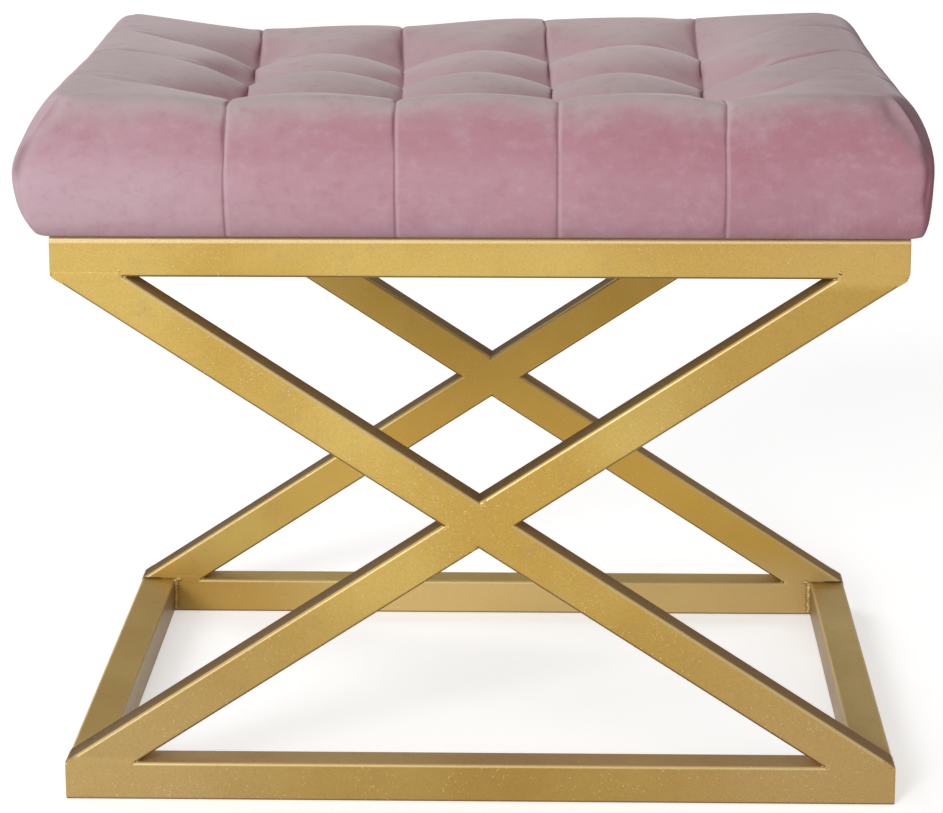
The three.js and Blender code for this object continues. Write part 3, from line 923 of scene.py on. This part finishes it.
@dataclass
class Welds:
    """Welds that were ground flush where faces line up, and small beads in the inner corners."""

    shop: Workshop
    body: TubeFrame
    crown: float = 0.1 * MM
    dip: float = 0.35 * MM
    spread: float = 1.9
    clear: float = 1.2 * MM
    shy: float = 0.2 * MM
    notch_shy: float = 0.7 * MM
    end_rounding: float = 0.7 * MM
    unevenness: float = 0.04 * MM
    ground_share: float = 0.13
    bead_radius: float = 1.5 * MM
    ripple_pitch: float = 1.8 * MM
    heel_gap: float = 0.3 * MM
    corner_gap: float = 0.7 * MM
    head_length: float = 5 * MM
    toe_inset: float = 2.5 * MM
    toe_length: float = 1.5 * MM
    drop_inset: float = 2.4 * MM
    drop_rise: float = 3.6 * MM
    drop_length: float = 1.9 * MM
    drop_glint: float = 2.0
    bead_facets: int = 14

    def build(self) -> None:
        """Builds the welds of both X frames and of the side rails."""
        for side in Side:
            flush = bmesh.new()
            for out in (side.sign, -side.sign):
                self.fill_feet(flush, side, out)
                self.fill_crossing(flush, side, out)
            self.shop.smooth(self.shop.piece(f"{side.label}_ground_welds", flush, Slot.GOLD_PAINT))
            beads = bmesh.new()
            self.lay_beads(beads, side)
            made = self.shop.piece(f"{side.label}_weld_beads", beads, Slot.GOLD_PAINT)
            made.data.shade_smooth()

    def face_y(self, side: Side, out: int) -> float:
        """Y of the face of an X frame that looks towards out."""
        return self.body.side_y(side) + out * self.body.tube / 2

    def fill(self, start: Vector, end: Vector, out: int) -> bmesh.types.BMesh:
        """Makes a weld that is ground flush, along a seam between two rounded edges.

        Args:
            start: Where the seam starts, in the plane of the faces.
            end: Where it ends.
            out: The sign of Y towards which the faces look.

        Returns:
            The weld's bmesh.
        """
        mesh = bmesh.new()
        length = (end - start).length
        radius, rounding = self.body.corner_radius, self.end_rounding
        columns = max(6, round(length / (1.5 * MM)))
        made = bmesh.ops.create_grid(mesh, x_segments=columns, y_segments=8, size=1)["verts"]
        along = (end - start).normalized()
        normal = Vector((0, out, 0))
        across = normal.cross(along)
        for vert in made:
            run = (vert.co.x + 1) / 2 * length
            side = vert.co.y
            height = self.crown * (1 - side**2) - self.dip * side**6
            height += self.unevenness * noise.noise(Vector((run * 400, side * 2, start.x * 50)))
            past = max(0.0, rounding - run, run - length + rounding)
            height -= rounding - math.sqrt(max(rounding**2 - past**2, 0.0))
            vert.co = start + along * run + across * side * radius * self.spread + normal * height
        faces = list({face for vert in made for face in vert.link_faces})
        extrude_faces(mesh, faces, normal * -radius)
        face_outwards(mesh)
        return mesh

    def fill_feet(self, mesh: bmesh.types.BMesh, side: Side, out: int) -> None:
        """Fills the seams between the diagonals' ends and the rails."""
        body = self.body
        for level, lift in body.seams:
            for end in ENDS.values():
                outer = body.half_width - self.shy
                if out != side.sign:
                    outer = body.half_width - body.tube - self.clear
                elif side is Side.FRONT and level > body.tube:
                    ground = next(c for c in body.ground_corners if c.end == end)
                    outer -= ground.radius * self.ground_share
                inner = body.half_width - body.foot + self.clear
                y = self.face_y(side, out)
                weld = self.fill(Vector((end * outer, y, level)), Vector((end * inner, y, level)), out)
                beyond = Vector((end * math.sin(body.slope), 0, lift * math.cos(body.slope)))
                toe = Vector((end * body.half_width, 0, level)) - beyond * self.shy
                saw(weld, toe, beyond)
                join(mesh, weld)

    def fill_crossing(self, mesh: bmesh.types.BMesh, side: Side, out: int) -> None:
        """Fills the seams between the half diagonals and the one that runs through."""
        body = self.body
        slope = side.hand * body.slope
        along = Vector((math.cos(slope), 0, -math.sin(slope)))
        flank = Vector((math.sin(slope), 0, math.cos(slope)))
        half = body.tube / 2
        middle = Vector((0, self.face_y(side, out), body.height / 2))
        for halves in (-1, 1):
            runs = [
                half * (halves * math.cos(2 * slope) + edge) / math.sin(2 * slope) for edge in (-1, 1)
            ]
            inset = self.clear if runs[1] > runs[0] else -self.clear
            start, end = (
                middle + flank * (halves * half) + along * run
                for run in (runs[0] + inset, runs[1] - inset)
            )
            weld = self.fill(start, end, out)
            for edge in (-1, 1):
                beyond = edge * Vector((-math.sin(slope), 0, math.cos(slope)))
                saw(weld, middle + beyond * (half - self.notch_shy), beyond)
            join(mesh, weld)

    def bead(
        self, mesh: bmesh.types.BMesh, start: Place, end: Place, radius: float, glint: float = 0.7
    ) -> None:
        """Adds a rippled bead between two points.

        Args:
            mesh: Takes the bead.
            start: One end.
            end: The other end.
            radius: Its radius.
            glint: Its value in the rim layer, which sets the paint's painted highlight on its top and
                painted shade below, and above 1 also a glossier finish.
        """
        line = Vector(end) - Vector(start)
        turn = line.to_track_quat("Z", "Y").to_matrix()
        rings = 4 * max(2, round(line.length / self.ripple_pitch))

        def place(share: float, rim: Vector) -> Vector:
            """Where a vertex of the bead lies."""
            at = Vector(start) + line * share
            near_end = max(0.0, 1 - min(share, 1 - share) * line.length / radius)
            ripple = 0.86 + 0.14 * abs(math.cos(math.pi * share * rings / 4))
            out = turn @ rim
            lump = 1 + 0.3 * noise.noise(at * 500 + out)
            drift = noise.noise_vector(at * 260) * radius * 0.25
            dome = math.sqrt(max(1 - near_end**2, 0.03))
            return at + drift + out * radius * ripple * lump * dome

        made = swept(rings, self.bead_facets, place)
        rim_layer = made.verts.layers.float.new("rim")
        for vert in made.verts:
            vert[rim_layer] = glint
        join(mesh, made)

    def lay_beads(self, mesh: bmesh.types.BMesh, side: Side) -> None:
        """Lays the beads of one X frame and of the side rails that meet it."""
        body = self.body
        radius = self.bead_radius
        outer, inner = self.face_y(side, side.sign), self.face_y(side, -side.sign)
        start, stop = outer - side.sign * MM, inner + side.sign * MM
        forward = inner - side.sign * self.corner_gap
        top = body.height - body.tube
        for end in ENDS.values():
            heel = end * (body.half_width - body.foot - self.heel_gap)
            for level, lift in body.seams:
                z = level + lift * self.shy
                self.bead(mesh, (heel, start, z), (heel, stop, z), radius * 0.8)
            corner = end * (body.half_width - body.tube - self.corner_gap)
            self.bead(mesh, (corner, forward, MM), (corner, forward, body.tube + MM), radius * 1.6)
            head = Vector((corner, inner, body.tube + 0.4 * MM))
            self.bead(mesh, head, head - Vector((end * self.head_length, 0, 0)), radius * 0.9)
            toe = Vector((end * (body.half_width - self.toe_inset), outer, body.tube + 0.8 * MM))
            wide = radius * (0.65 + 0.15 * end)
            self.bead(mesh, toe, toe - Vector((end * self.toe_length, 0, 0)), wide)
            self.bead(mesh, (corner, forward, top), (corner, forward, body.height - 3 * MM), radius)
            drop = Vector((heel + end * self.drop_inset, outer, top + self.drop_rise))
            wide = radius * (0.85 + 0.45 * end)
            self.bead(mesh, drop, drop + Vector((end * self.drop_length, 0, MM)), wide, self.drop_glint)


@dataclass(frozen=True)
class SidePoint:
    """A point of the cushion's side: shares of its reach past the crest and of its drop.

    The front and the back are drawn in further under the seat than the ends.
    """

    left_reach: float
    right_reach: float
    front_reach: float
    drop: float

    def reach(self, x: float) -> float:
        """Its reach at the end of the stool that x lies on."""
        return self.left_reach if x < 0 else self.right_reach


@dataclass
class Cushion:
    """The tufted velvet cushion, sewn in columns, tied at its tufts and blown up like foam."""

    shop: Workshop
    cells: int = 16
    folds: tuple[float, ...] = (-113 * MM, 0.0, 113 * MM)
    seams_mm: tuple[tuple[float, ...], ...] = (
        (-154, -153, -156, -163, -168),
        (-50, -52, -56, -60, -66.5),
        (48.3, 45, 43, 41.5, 37.5),
        (151, 142, 145, 146, 146),
    )
    settled_mm: tuple[tuple[float, ...], ...] = (
        (0, -0.5, -2, -1.5, -2.5, -1),
        (1, 1, 0.5, 0.5, 1, 0),
        (2.5, 1, 2.5, 1.5, 4.5, 1),
        (2, 8.5, 7.5, 0, -4, 0.5),
        (0, 12.5, 8.5, 4, 5, -0.5),
    )
    front_lean: float = -4 * MM
    back_lean: float = -10 * MM
    crest_inset: float = 26 * MM
    crest_width: float = 40 * MM
    crown: float = 75 * MM
    edge_rise: float = 11 * MM
    seam_depth: float = 13 * MM
    seam_notch: float = 3.2 * MM
    fold_depth: float = 12 * MM
    tuft_depth: float = 7 * MM
    corner_round: float = 15 * MM
    profile: tuple[SidePoint, ...] = (
        SidePoint(0.0, 0.0, 0.0, 0.0),
        SidePoint(0.14, 0.26, 0.19, 0.02),
        SidePoint(0.27, 0.47, 0.36, 0.07),
        SidePoint(0.45, 0.66, 0.55, 0.15),
        SidePoint(0.63, 0.81, 0.72, 0.25),
        SidePoint(0.82, 0.92, 0.87, 0.37),
        SidePoint(0.93, 0.95, 0.97, 0.48),
        SidePoint(0.95, 0.94, 1.0, 0.58),
        SidePoint(0.9, 0.91, 0.98, 0.69),
        SidePoint(0.81, 0.9, 0.94, 0.78),
        SidePoint(0.69, 0.88, 0.88, 0.86),
        SidePoint(0.54, 0.83, 0.8, 0.93),
        SidePoint(0.42, 0.76, 0.72, 0.98),
        SidePoint(0.33, 0.68, 0.63, 1.0),
    )
    underside: tuple[float, ...] = (0.97, 0.93)
    puff_frames: int = 20
    puff_pressure: float = 4.0
    puff_limit: float = 9 * MM
    slack: float = 0.025
    seam_hold: float = 0.55
    edge_seam_hold: float = 0.26
    fold_hold: float = 0.3
    side_swell: float = 0.35
    edge_swell: float = 0.45
    seam_reach: float = 51 * MM
    fold_reach: float = 56 * MM
    valley_reach: float = 60 * MM
    fold_middle: float = -6 * MM
    fold_fade: tuple[float, ...] = (115 * MM, 150 * MM, 245 * MM)
    corner_band: tuple[float, float] = (-30 * MM, 10 * MM)
    top_band: tuple[float, float] = (30 * MM, 70 * MM)
    tacked: float = 6 * MM
    seam_sink: float = 0.7 * MM
    seam_crease: float = 0.7
    pleat_sink: float = 1.2 * MM
    pleat_crease: float = 0.6
    pleat_top: float = 62 * MM
    foam_inset: float = 4.5 * MM
    half_x: float = field(init=False)
    half_y: float = field(init=False)
    ring_top: float = field(init=False)
    base: float = field(init=False)

    def __post_init__(self) -> None:
        """Takes the cushion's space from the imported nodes."""
        low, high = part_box("velvet_cover")
        self.half_x, self.half_y = high[0], high[1]
        self.base = low[2]
        self.ring_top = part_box("front_top_rail")[1][2]

    def along_rows(self, y: float, values: Sequence[float]) -> float:
        """A value between its stops at the front, at the three folds and at the back."""
        stops = (-self.half_y, *self.folds, self.half_y)
        for low, high, first, last in zip(stops, stops[1:], values, values[1:]):
            if y <= high:
                break
        return lerp(first, last, (y - low) / (high - low))

    def seams_at(self, y: float) -> list[float]:
        """X of the sewn seams at a place from front to back."""
        return [self.along_rows(y, places) * MM for places in self.seams_mm]

    def lean(self, y: float) -> float:
        """X of the cushion's middle at a place from front to back."""
        return lerp(self.front_lean, self.back_lean, (y + self.half_y) / (2 * self.half_y))

    def settled(self, x: float, y: float) -> float:
        """How far the top has settled at a place, from the values at the ends and the seams."""
        columns = [self.along_rows(y, column) for column in zip(*self.settled_mm)]
        stops = [self.lean(y) - self.half_x, *self.seams_at(y), self.lean(y) + self.half_x]
        for low, high, first, last in zip(stops, stops[1:], columns, columns[1:]):
            if x <= high:
                break
        return lerp(first, last, smooth_step(low, high, x)) * MM

    @staticmethod
    def pull(place: float, lines: Sequence[float], reach: float) -> float:
        """How much the nearest line is felt at a place: 1 on it, 0 beyond its reach."""
        away = min(abs(place - line) for line in lines)
        return max(0.0, 1 - away / reach) ** 2

    def edge(self, from_edge: float) -> float:
        """1 on the crest around the cushion's edge, fading on both sides of it."""
        return math.exp(-(((from_edge - self.crest_inset) / self.crest_width) ** 2))

    def fold_share(self, x: float) -> float:
        """How much of the folds is left at a place along the stool: they fade in the end columns."""
        full, half, none = self.fold_fade
        from_middle = abs(x - self.fold_middle)
        past_seam = lerp(1.0, 0.5, smooth_step(full, half, from_middle))
        return past_seam * (1 - smooth_step(half, none, from_middle))

    def top_height(self, x: float, y: float, from_edge: float) -> float:
        """Height of the cushion's top over the ring.

        Args:
            x: The place along the stool.
            y: The place from front to back.
            from_edge: Its distance from the widest outline.

        Returns:
            The height.
        """
        edge = self.edge(from_edge)
        sewn = self.pull(x, self.seams_at(y), self.seam_reach)
        folded = self.pull(y, self.folds, self.fold_reach)
        notch = self.seam_notch * (1 - 0.7 * smooth_step(0, self.half_y, y))
        seam = sewn * lerp(self.seam_depth, notch, edge)
        fold = folded * (1 - sewn) * self.fold_depth * self.fold_share(x)
        tuft = sewn**1.5 * folded**1.5 * self.tuft_depth
        return self.crown + self.edge_rise * edge - seam - fold - tuft - self.settled(x, y)

    def spread(self, stops: Sequence[float]) -> list[float]:
        """Places of the grid's lines between stops, closer together near each stop."""
        places = [stops[0]]
        for low, high in zip(stops, stops[1:]):
            for step in range(1, self.cells + 1):
                share = step / self.cells
                places.append(lerp(low, high, share - 0.7 * math.sin(2 * math.pi * share) / (2 * math.pi)))
        return places

    def shape(self) -> bmesh.types.BMesh:
        """The form before it swells.

        The float layers seam, lip and corner are 1 on the sewn seams, just right of them and on
        the corners' pleats, valley grows towards the tufts, hold is how firmly it is held and
        crest is 1 on the crest around the edge.

        Returns:
            The form's bmesh.
        """
        crest_x, crest_y = self.half_x - self.crest_inset, self.half_y - self.crest_inset
        ys = self.spread([-crest_y, *self.folds, crest_y])
        columns = (len(self.seams_mm) + 1) * self.cells
        form = bmesh.new()
        bmesh.ops.create_grid(form, x_segments=columns, y_segments=len(ys) - 1, size=1)
        names = ("out_x", "out_y", "seam", "lip", "corner", "valley", "hold", "crest")
        out_x, out_y, seam, lip, corner, valley, hold, crest = (
            form.verts.layers.float.new(name) for name in names
        )
        rows = []
        for y in ys:
            middle = self.lean(y)
            rows.append(self.spread([middle - crest_x, *self.seams_at(y), middle + crest_x]))
        for vert in form.verts:
            i = round((vert.co.x + 1) / 2 * columns)
            j = round((vert.co.y + 1) / 2 * (len(ys) - 1))
            row = rows[j]
            x, y = row[i], ys[j]
            first, last = row[self.cells], row[-1 - self.cells]
            beyond_x = max((first - x) / (first - row[0]), (x - last) / (row[-1] - last), 0.0)
            beyond_y = max((abs(y) - ys[-1 - self.cells]) / (ys[-1] - ys[-1 - self.cells]), 0.0)
            edge_x, edge_y = i in (0, columns), j in (0, len(ys) - 1)
            on_seam, on_fold = i % self.cells == 0 and not edge_x, j % self.cells == 0 and not edge_y
            vert[out_x] = math.copysign(1.0 if edge_x else beyond_x**3, x - self.lean(y))
            vert[out_y] = math.copysign(1.0 if edge_y else beyond_y**3, y)
            vert[seam] = float(on_seam)
            vert[lip] = float(i % self.cells == 1 and i > 1)
            vert[corner] = min(abs(vert[out_x]), abs(vert[out_y]))
            from_edge = self.crest_inset + min(crest_x - abs(x - self.lean(y)), crest_y - abs(y))
            sewn = self.pull(x, self.seams_at(y), self.seam_reach)
            vert[valley] = sewn * self.pull(y, self.folds, self.valley_reach)
            vert[crest] = self.edge(from_edge)
            firm = lerp(self.seam_hold, self.edge_seam_hold, vert[crest])
            beside_seam = i % self.cells in (1, self.cells - 1) and 1 < i < columns - 1
            firm *= on_seam + 0.35 * beside_seam
            vert[hold] = max(0.04, firm, on_fold * self.fold_hold * self.fold_share(x))
            if on_seam and on_fold:
                vert[hold] = 1.0
            vert.co = (x, y, self.ring_top + self.top_height(x, y, from_edge))
        self.add_sides(form, (out_x, out_y))
        for vert in form.verts:
            vert.co.xy = self.rounded(vert.co.x, vert.co.y, vert.co.z)
        face_outwards(form)
        return form

    def add_sides(self, form: bmesh.types.BMesh, layers: tuple[Any, Any]) -> None:
        """Grows the sides down from the crest, ring by ring, and closes the underside."""
        out_x, out_y = layers
        rim = [edge for edge in form.edges if edge.is_boundary]
        for above, point in zip(self.profile, self.profile[1:]):
            rim, verts = extrude_rim(form, rim)
            fall = (point.drop - above.drop) / (1 - above.drop)
            front = point.front_reach - above.front_reach
            for vert in verts:
                side = point.reach(vert.co.x) - above.reach(vert.co.x)
                vert.co.x += vert[out_x] * side * self.crest_inset
                vert.co.y += vert[out_y] * front * self.crest_inset
                vert.co.z -= (vert.co.z - self.base) * fall
        for share in self.underside:
            rim, verts = extrude_rim(form, rim)
            for vert in verts:
                vert.co.xy *= share
        closing = bmesh.ops.contextual_create(form, geom=rim)["faces"]
        bmesh.ops.triangulate(form, faces=closing)

    def rounded(self, x: float, y: float, z: float) -> tuple[float, float]:
        """Rounds the corners of the plan at a height."""
        low, high = (self.ring_top + self.crown + level for level in self.corner_band)
        bulge = 1 - smooth_step(low, high, z)
        widest = [half - self.crest_inset * (1 - bulge) for half in (self.half_x, self.half_y)]
        radius = self.corner_round
        middle = self.lean(y)
        across = max(abs(x - middle) - widest[0] + radius, 0.0) / radius
        along = max(abs(y) - widest[1] + radius, 0.0) / radius
        if across <= 0 or along <= 0:
            return x, y
        new_across = across * math.sqrt(max(1 - min(along, 1) ** 2 / 2, 0.5))
        new_along = along * math.sqrt(max(1 - min(across, 1) ** 2 / 2, 0.5))
        moved_x = (new_across - across) * radius * math.copysign(1.0, x - middle)
        return x + moved_x, y + (new_along - along) * radius * math.copysign(1.0, y)

    def puff(self, made: bpy.types.Object) -> None:
        """Blows the cover up as cloth with its seams, tufts and base held, and keeps the result."""
        mesh = made.data
        rest = [vert.co.copy() for vert in mesh.vertices]
        hold, crest = (mesh.attributes[name].data for name in ("hold", "crest"))
        held = made.vertex_groups.new(name="held")
        for index, place in enumerate(rest):
            weight = 1.0 if place.z < self.base + self.tacked else hold[index].value
            held.add([index], weight, "REPLACE")
        cloth = made.modifiers.new("puff", "CLOTH")
        settings = {
            "quality": 6,
            "mass": 0.25,
            "tension_stiffness": 25,
            "compression_stiffness": 25,
            "shear_stiffness": 8,
            "bending_stiffness": 0.6,
            "air_damping": 2,
            "use_pressure": True,
            "uniform_pressure_force": self.puff_pressure,
            "shrink_min": -self.slack,
            "vertex_group_mass": held.name,
            "pin_stiffness": 1.2,
        }
        for name, setting in settings.items():
            setattr(cloth.settings, name, setting)
        cloth.settings.effector_weights.gravity = 0
        cloth.collision_settings.use_collision = False
        cloth.point_cache.frame_start = 1
        cloth.point_cache.frame_end = self.puff_frames
        scene = bpy.context.scene
        for number in range(1, self.puff_frames + 1):
            scene.frame_set(number)
        blown = made.evaluated_get(bpy.context.evaluated_depsgraph_get()).data
        moves = [blown.vertices[index].co - place for index, place in enumerate(rest)]
        made.modifiers.remove(cloth)
        made.vertex_groups.clear()
        scene.frame_set(1)
        low, high = (self.ring_top + level for level in self.top_band)
        farthest = 0.0
        for vert, place, move, edge in zip(mesh.vertices, rest, moves, crest):
            farthest = max(farthest, move.length)
            if move.length > self.puff_limit:
                move = move.normalized() * self.puff_limit
            on_top = smooth_step(low, high, place.z)
            swell = lerp(self.side_swell, lerp(1.0, self.edge_swell, edge.value), on_top)
            vert.co = place + move * swell
        log.info("cushion: swelled by up to %.1f mm", farthest / MM)

    def finish_cover(self, made: bpy.types.Object) -> None:
        """Sinks the sewn seams and the corner pleats, and lays the pile smooth over them."""
        detail = bmesh.new()
        detail.from_mesh(made.data)
        detail.normal_update()
        layers = detail.verts.layers.float
        seam, corner = layers["seam"], layers["corner"]
        crease = detail.edges.layers.float.new("crease_edge")
        moves = {}
        for vert in detail.verts:
            if vert[seam] > 0.5 and vert.co.z > self.base + MM:
                wander = noise.noise(vert.co * 60)
                moves[vert] = vert.normal * -(1 + 0.25 * wander) * self.seam_sink
            elif vert[corner] > 0.97 and vert.co.z < self.ring_top + self.pleat_top:
                moves[vert] = vert.normal * -self.pleat_sink
        for vert, move in moves.items():
            vert.co += move
        for edge in detail.edges:
            if all(vert[seam] > 0.5 for vert in edge.verts):
                edge[crease] = self.seam_crease
            elif all(vert[corner] > 0.97 for vert in edge.verts):
                edge[crease] = self.pleat_crease
        detail.to_mesh(made.data)
        detail.free()
        finer = made.modifiers.new("finer", "SUBSURF")
        finer.levels = 1
        finer.render_levels = 1
        made.data.shade_smooth()

    def build_foam(self, cover: bpy.types.Object) -> None:
        """Builds the foam that fills the cover, cut flat where it lies on the board."""
        foam = self.shape()
        inset = self.foam_inset
        for vert, skin in zip(foam.verts, cover.data.vertices):
            vert.co.x *= 1 - inset / self.half_x
            vert.co.y *= 1 - inset / self.half_y
            vert.co.z = min(vert.co.z, skin.co.z) - inset
        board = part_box("foam_pad")[0][2]
        saw(foam, Vector((0, 0, board)), Vector((0, 0, -1)))
        core = self.shop.piece("foam_core", foam, Slot.FOAM, ["foam_pad"])
        core.data.shade_smooth()

    def build(self) -> bpy.types.Object:
        """Builds the cover and the foam inside it, and returns the cover."""
        made = self.shop.piece("velvet_cushion", self.shape(), Slot.VELVET, ["velvet_cover"])
        self.puff(made)
        self.finish_cover(made)
        self.build_foam(made)
        return made


@dataclass
class TuftTies:
    """The twisted cords that hold the tufts down, each with its toggle under the board."""

    shop: Workshop
    strand: float = 0.58 * MM
    facets: int = 8
    lay: float = 5 * MM
    step: float = 0.7 * MM
    knot: float = 1.7 * MM
    toggle_thickness: float = 1.2 * MM
    toggle_edge: float = 0.4 * MM
    cover_gap: float = 1.2 * MM

    def build(self, cover: bpy.types.Object) -> None:
        """Builds every tie under the cover."""
        skin = BVHTree.FromObject(cover, bpy.context.evaluated_depsgraph_get())
        for name in sorted(name for name in frame["nodes"] if name.startswith("tuft_tie_")):
            low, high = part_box(name)
            foot = Vector(((low[0] + high[0]) / 2, (low[1] + high[1]) / 2, low[2]))
            under = skin.ray_cast(foot + Vector((0, 0, 1)), Vector((0, 0, -1)))[0]
            length = min(high[2], under.z - self.cover_gap) - low[2]
            tie = bmesh.new()
            for turn in (0.0, math.pi):
                join(tie, self.cord(foot, length - self.knot / 2, turn))
            join(tie, self.head(foot + Vector((0, 0, length - self.knot))))
            self.add_toggle(tie, foot, (high[0] - low[0]) / 2)
            self.shop.smooth(self.shop.piece(f"{name}_cord", tie, Slot.TWINE, [name]))

    def cord(self, foot: Vector, length: float, turn: float) -> bmesh.types.BMesh:
        """Makes one strand of a tie, twisted around its middle."""

        def place(share: float, rim: Vector) -> Vector:
            """Where a vertex of the strand lies."""
            angle = turn + 2 * math.pi * share * length / self.lay
            around = Vector((math.cos(angle), math.sin(angle), 0))
            return foot + (rim + around) * self.strand + Vector((0, 0, share * length))

        return swept(round(length / self.step), self.facets, place)

    def head(self, foot: Vector) -> bmesh.types.BMesh:
        """Makes the knot at the upper end of a tie."""

        def place(share: float, rim: Vector) -> Vector:
            """Where a vertex of the knot lies."""
            girth = math.sqrt(max(1 - (2 * share - 1) ** 2, 0.04))
            ripple = 1 + 0.08 * math.cos(3 * math.atan2(rim.y, rim.x) + 9 * share)
            return foot + rim * self.knot * girth * ripple + Vector((0, 0, share * self.knot))

        return swept(8, 2 * self.facets, place)

    def add_toggle(self, tie: bmesh.types.BMesh, foot: Vector, radius: float) -> None:
        """Adds the toggle at the lower end of a tie."""
        made = bmesh.ops.create_cone(
            tie,
            cap_ends=True,
            segments=4 * self.facets,
            radius1=radius,
            radius2=radius,
            depth=self.toggle_thickness,
            matrix=Matrix.Translation(foot + Vector((0, 0, self.toggle_thickness / 2))),
        )["verts"]
        rims = {edge for vert in made for edge in vert.link_edges if len(edge.link_faces) == 2}
        sharp = [edge for edge in rims if edge.calc_face_angle() > 1]
        bevel(tie, sharp, self.toggle_edge, 3)


@dataclass
class DustCover:
    """The black lining under the seat, stretched over the ring."""

    shop: Workshop
    thickness: float = 0.5 * MM
    ripple: float = 0.06 * MM
    lift: float = 0.3 * MM
    cells: tuple[int, int] = (42, 34)

    def build(self) -> None:
        """Builds the lining."""
        low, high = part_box("dust_cover")
        size = high - low
        sheet = bmesh.new()
        bmesh.ops.create_grid(sheet, x_segments=self.cells[0], y_segments=self.cells[1], size=0.5)
        middle = (low + high) / 2
        for vert in sheet.verts:
            x, y = vert.co.x * size[0], vert.co.y * size[1]
            ripple = self.ripple * noise.noise(Vector((x * 25, y * 25, 0)))
            vert.co = (middle[0] + x, middle[1] + y, low[2] + self.lift + ripple)
        bmesh.ops.solidify(sheet, geom=sheet.faces[:], thickness=self.thickness * 0.5)
        face_outwards(sheet)
        made = self.shop.piece("stretched_lining", sheet, Slot.LINING, ["dust_cover"])
        made.data.shade_smooth()


@dataclass
class Studio:
    """Floor, light and camera."""

    camera_place: Place = (0.0478, -2.2415, 0.7538)
    camera_turn_degrees: Place = (76.2707, 0.0755, 1.4590)
    camera_lens_mm: float = 129.24
    camera_sensor_mm: float = 36.0
    lit_point: Place = (0.0, 0.0, 0.25)
    sun_distance: float = 3.0
    floor_colour: Colour = (0.86, 0.86, 0.86)
    floor_lift: float = 0.52
    surround: float = 0.38

    def build(self) -> None:
        """Builds the studio and sets the view."""
        scene = bpy.context.scene
        scene.view_settings.view_transform = "Standard"
        world = bpy.data.worlds.new("studio")
        scene.world = world
        graph = Graph(world)
        sockets = {"Color": (1.0, 1.0, 1.0), "Strength": self.surround}
        background = graph.node("ShaderNodeBackground", {}, sockets)
        graph.node("ShaderNodeOutputWorld", {}, {"Surface": background.outputs[0]})
        self.build_floor(scene)
        self.sun("front_light", -24, 24, 1.3, 16)
        self.sun("back_light", -140, 34, 0.7, 30)
        self.lamp("key", (-0.4, -1.25, 1.0), 0.7, 3.2)
        data = bpy.data.cameras.new("view")
        data.lens = self.camera_lens_mm
        data.sensor_width = self.camera_sensor_mm
        camera = bpy.data.objects.new("view", data)
        camera.location = self.camera_place
        camera.rotation_euler = [math.radians(angle) for angle in self.camera_turn_degrees]
        scene.collection.objects.link(camera)
        scene.camera = camera

    def build_floor(self, scene: bpy.types.Scene) -> None:
        """A plain pale floor that shows white to the eye and keeps the stool's shadow."""
        floor = bmesh.new()
        bmesh.ops.create_grid(floor, x_segments=1, y_segments=1, size=40)
        data = bpy.data.meshes.new("floor")
        floor.to_mesh(data)
        floor.free()
        graph = Graph(bpy.data.materials.new("floor"))
        lift = graph.mix(graph.seen_directly(), (0.0, 0.0, 0.0), (self.floor_lift,) * 3)
        data.materials.append(
            graph.surface(
                Base_Color=self.floor_colour,
                Roughness=1.0,
                Specular_IOR_Level=0.0,
                Emission_Color=lift,
                Emission_Strength=1.0,
            )
        )
        data.materials[0].cycles.emission_sampling = "NONE"
        made = bpy.data.objects.new("floor", data)
        scene.collection.objects.link(made)

    def aim(self, made: bpy.types.Object, place: Vector) -> None:
        """Places a lamp and turns it to the stool."""
        made.location = place
        towards = Vector(self.lit_point) - place
        made.rotation_euler = towards.to_track_quat("-Z", "Y").to_euler()
        bpy.context.scene.collection.objects.link(made)

    def sun(self, name: str, azimuth: float, elevation: float, power: float, width: float) -> None:
        """Adds a soft distant light.

        Args:
            name: Its name.
            azimuth: Where it stands, in degrees from the front towards the right.
            elevation: Its height over the horizon, in degrees.
            power: Its strength.
            width: The angle that it fills, in degrees.
        """
        data = bpy.data.lights.new(name, "SUN")
        data.energy = power
        data.angle = math.radians(width)
        turn, rise = math.radians(azimuth), math.radians(elevation)
        away = Vector((math.sin(turn) * math.cos(rise), -math.cos(turn) * math.cos(rise), math.sin(rise)))
        self.aim(bpy.data.objects.new(name, data), away * self.sun_distance)

    def lamp(self, name: str, place: Place, size: float, power: float) -> None:
        """Adds a soft square lamp that faces the stool."""
        data = bpy.data.lights.new(name, "AREA")
        data.size = size
        data.energy = power
        self.aim(bpy.data.objects.new(name, data), Vector(place))


def main() -> None:
    """Builds the stool and its studio."""
    logging.basicConfig(level=logging.INFO, format="%(name)s: %(message)s")
    noise.seed_set(NOISE_SEED)
    shop = Workshop()
    Studio().build()
    shop.dress_nodes()
    body = TubeFrame(shop)
    body.build()
    Welds(shop, body).build()
    TuftTies(shop).build(Cushion(shop).build())
    DustCover(shop).build()


if __name__ == "__main__":
    main()
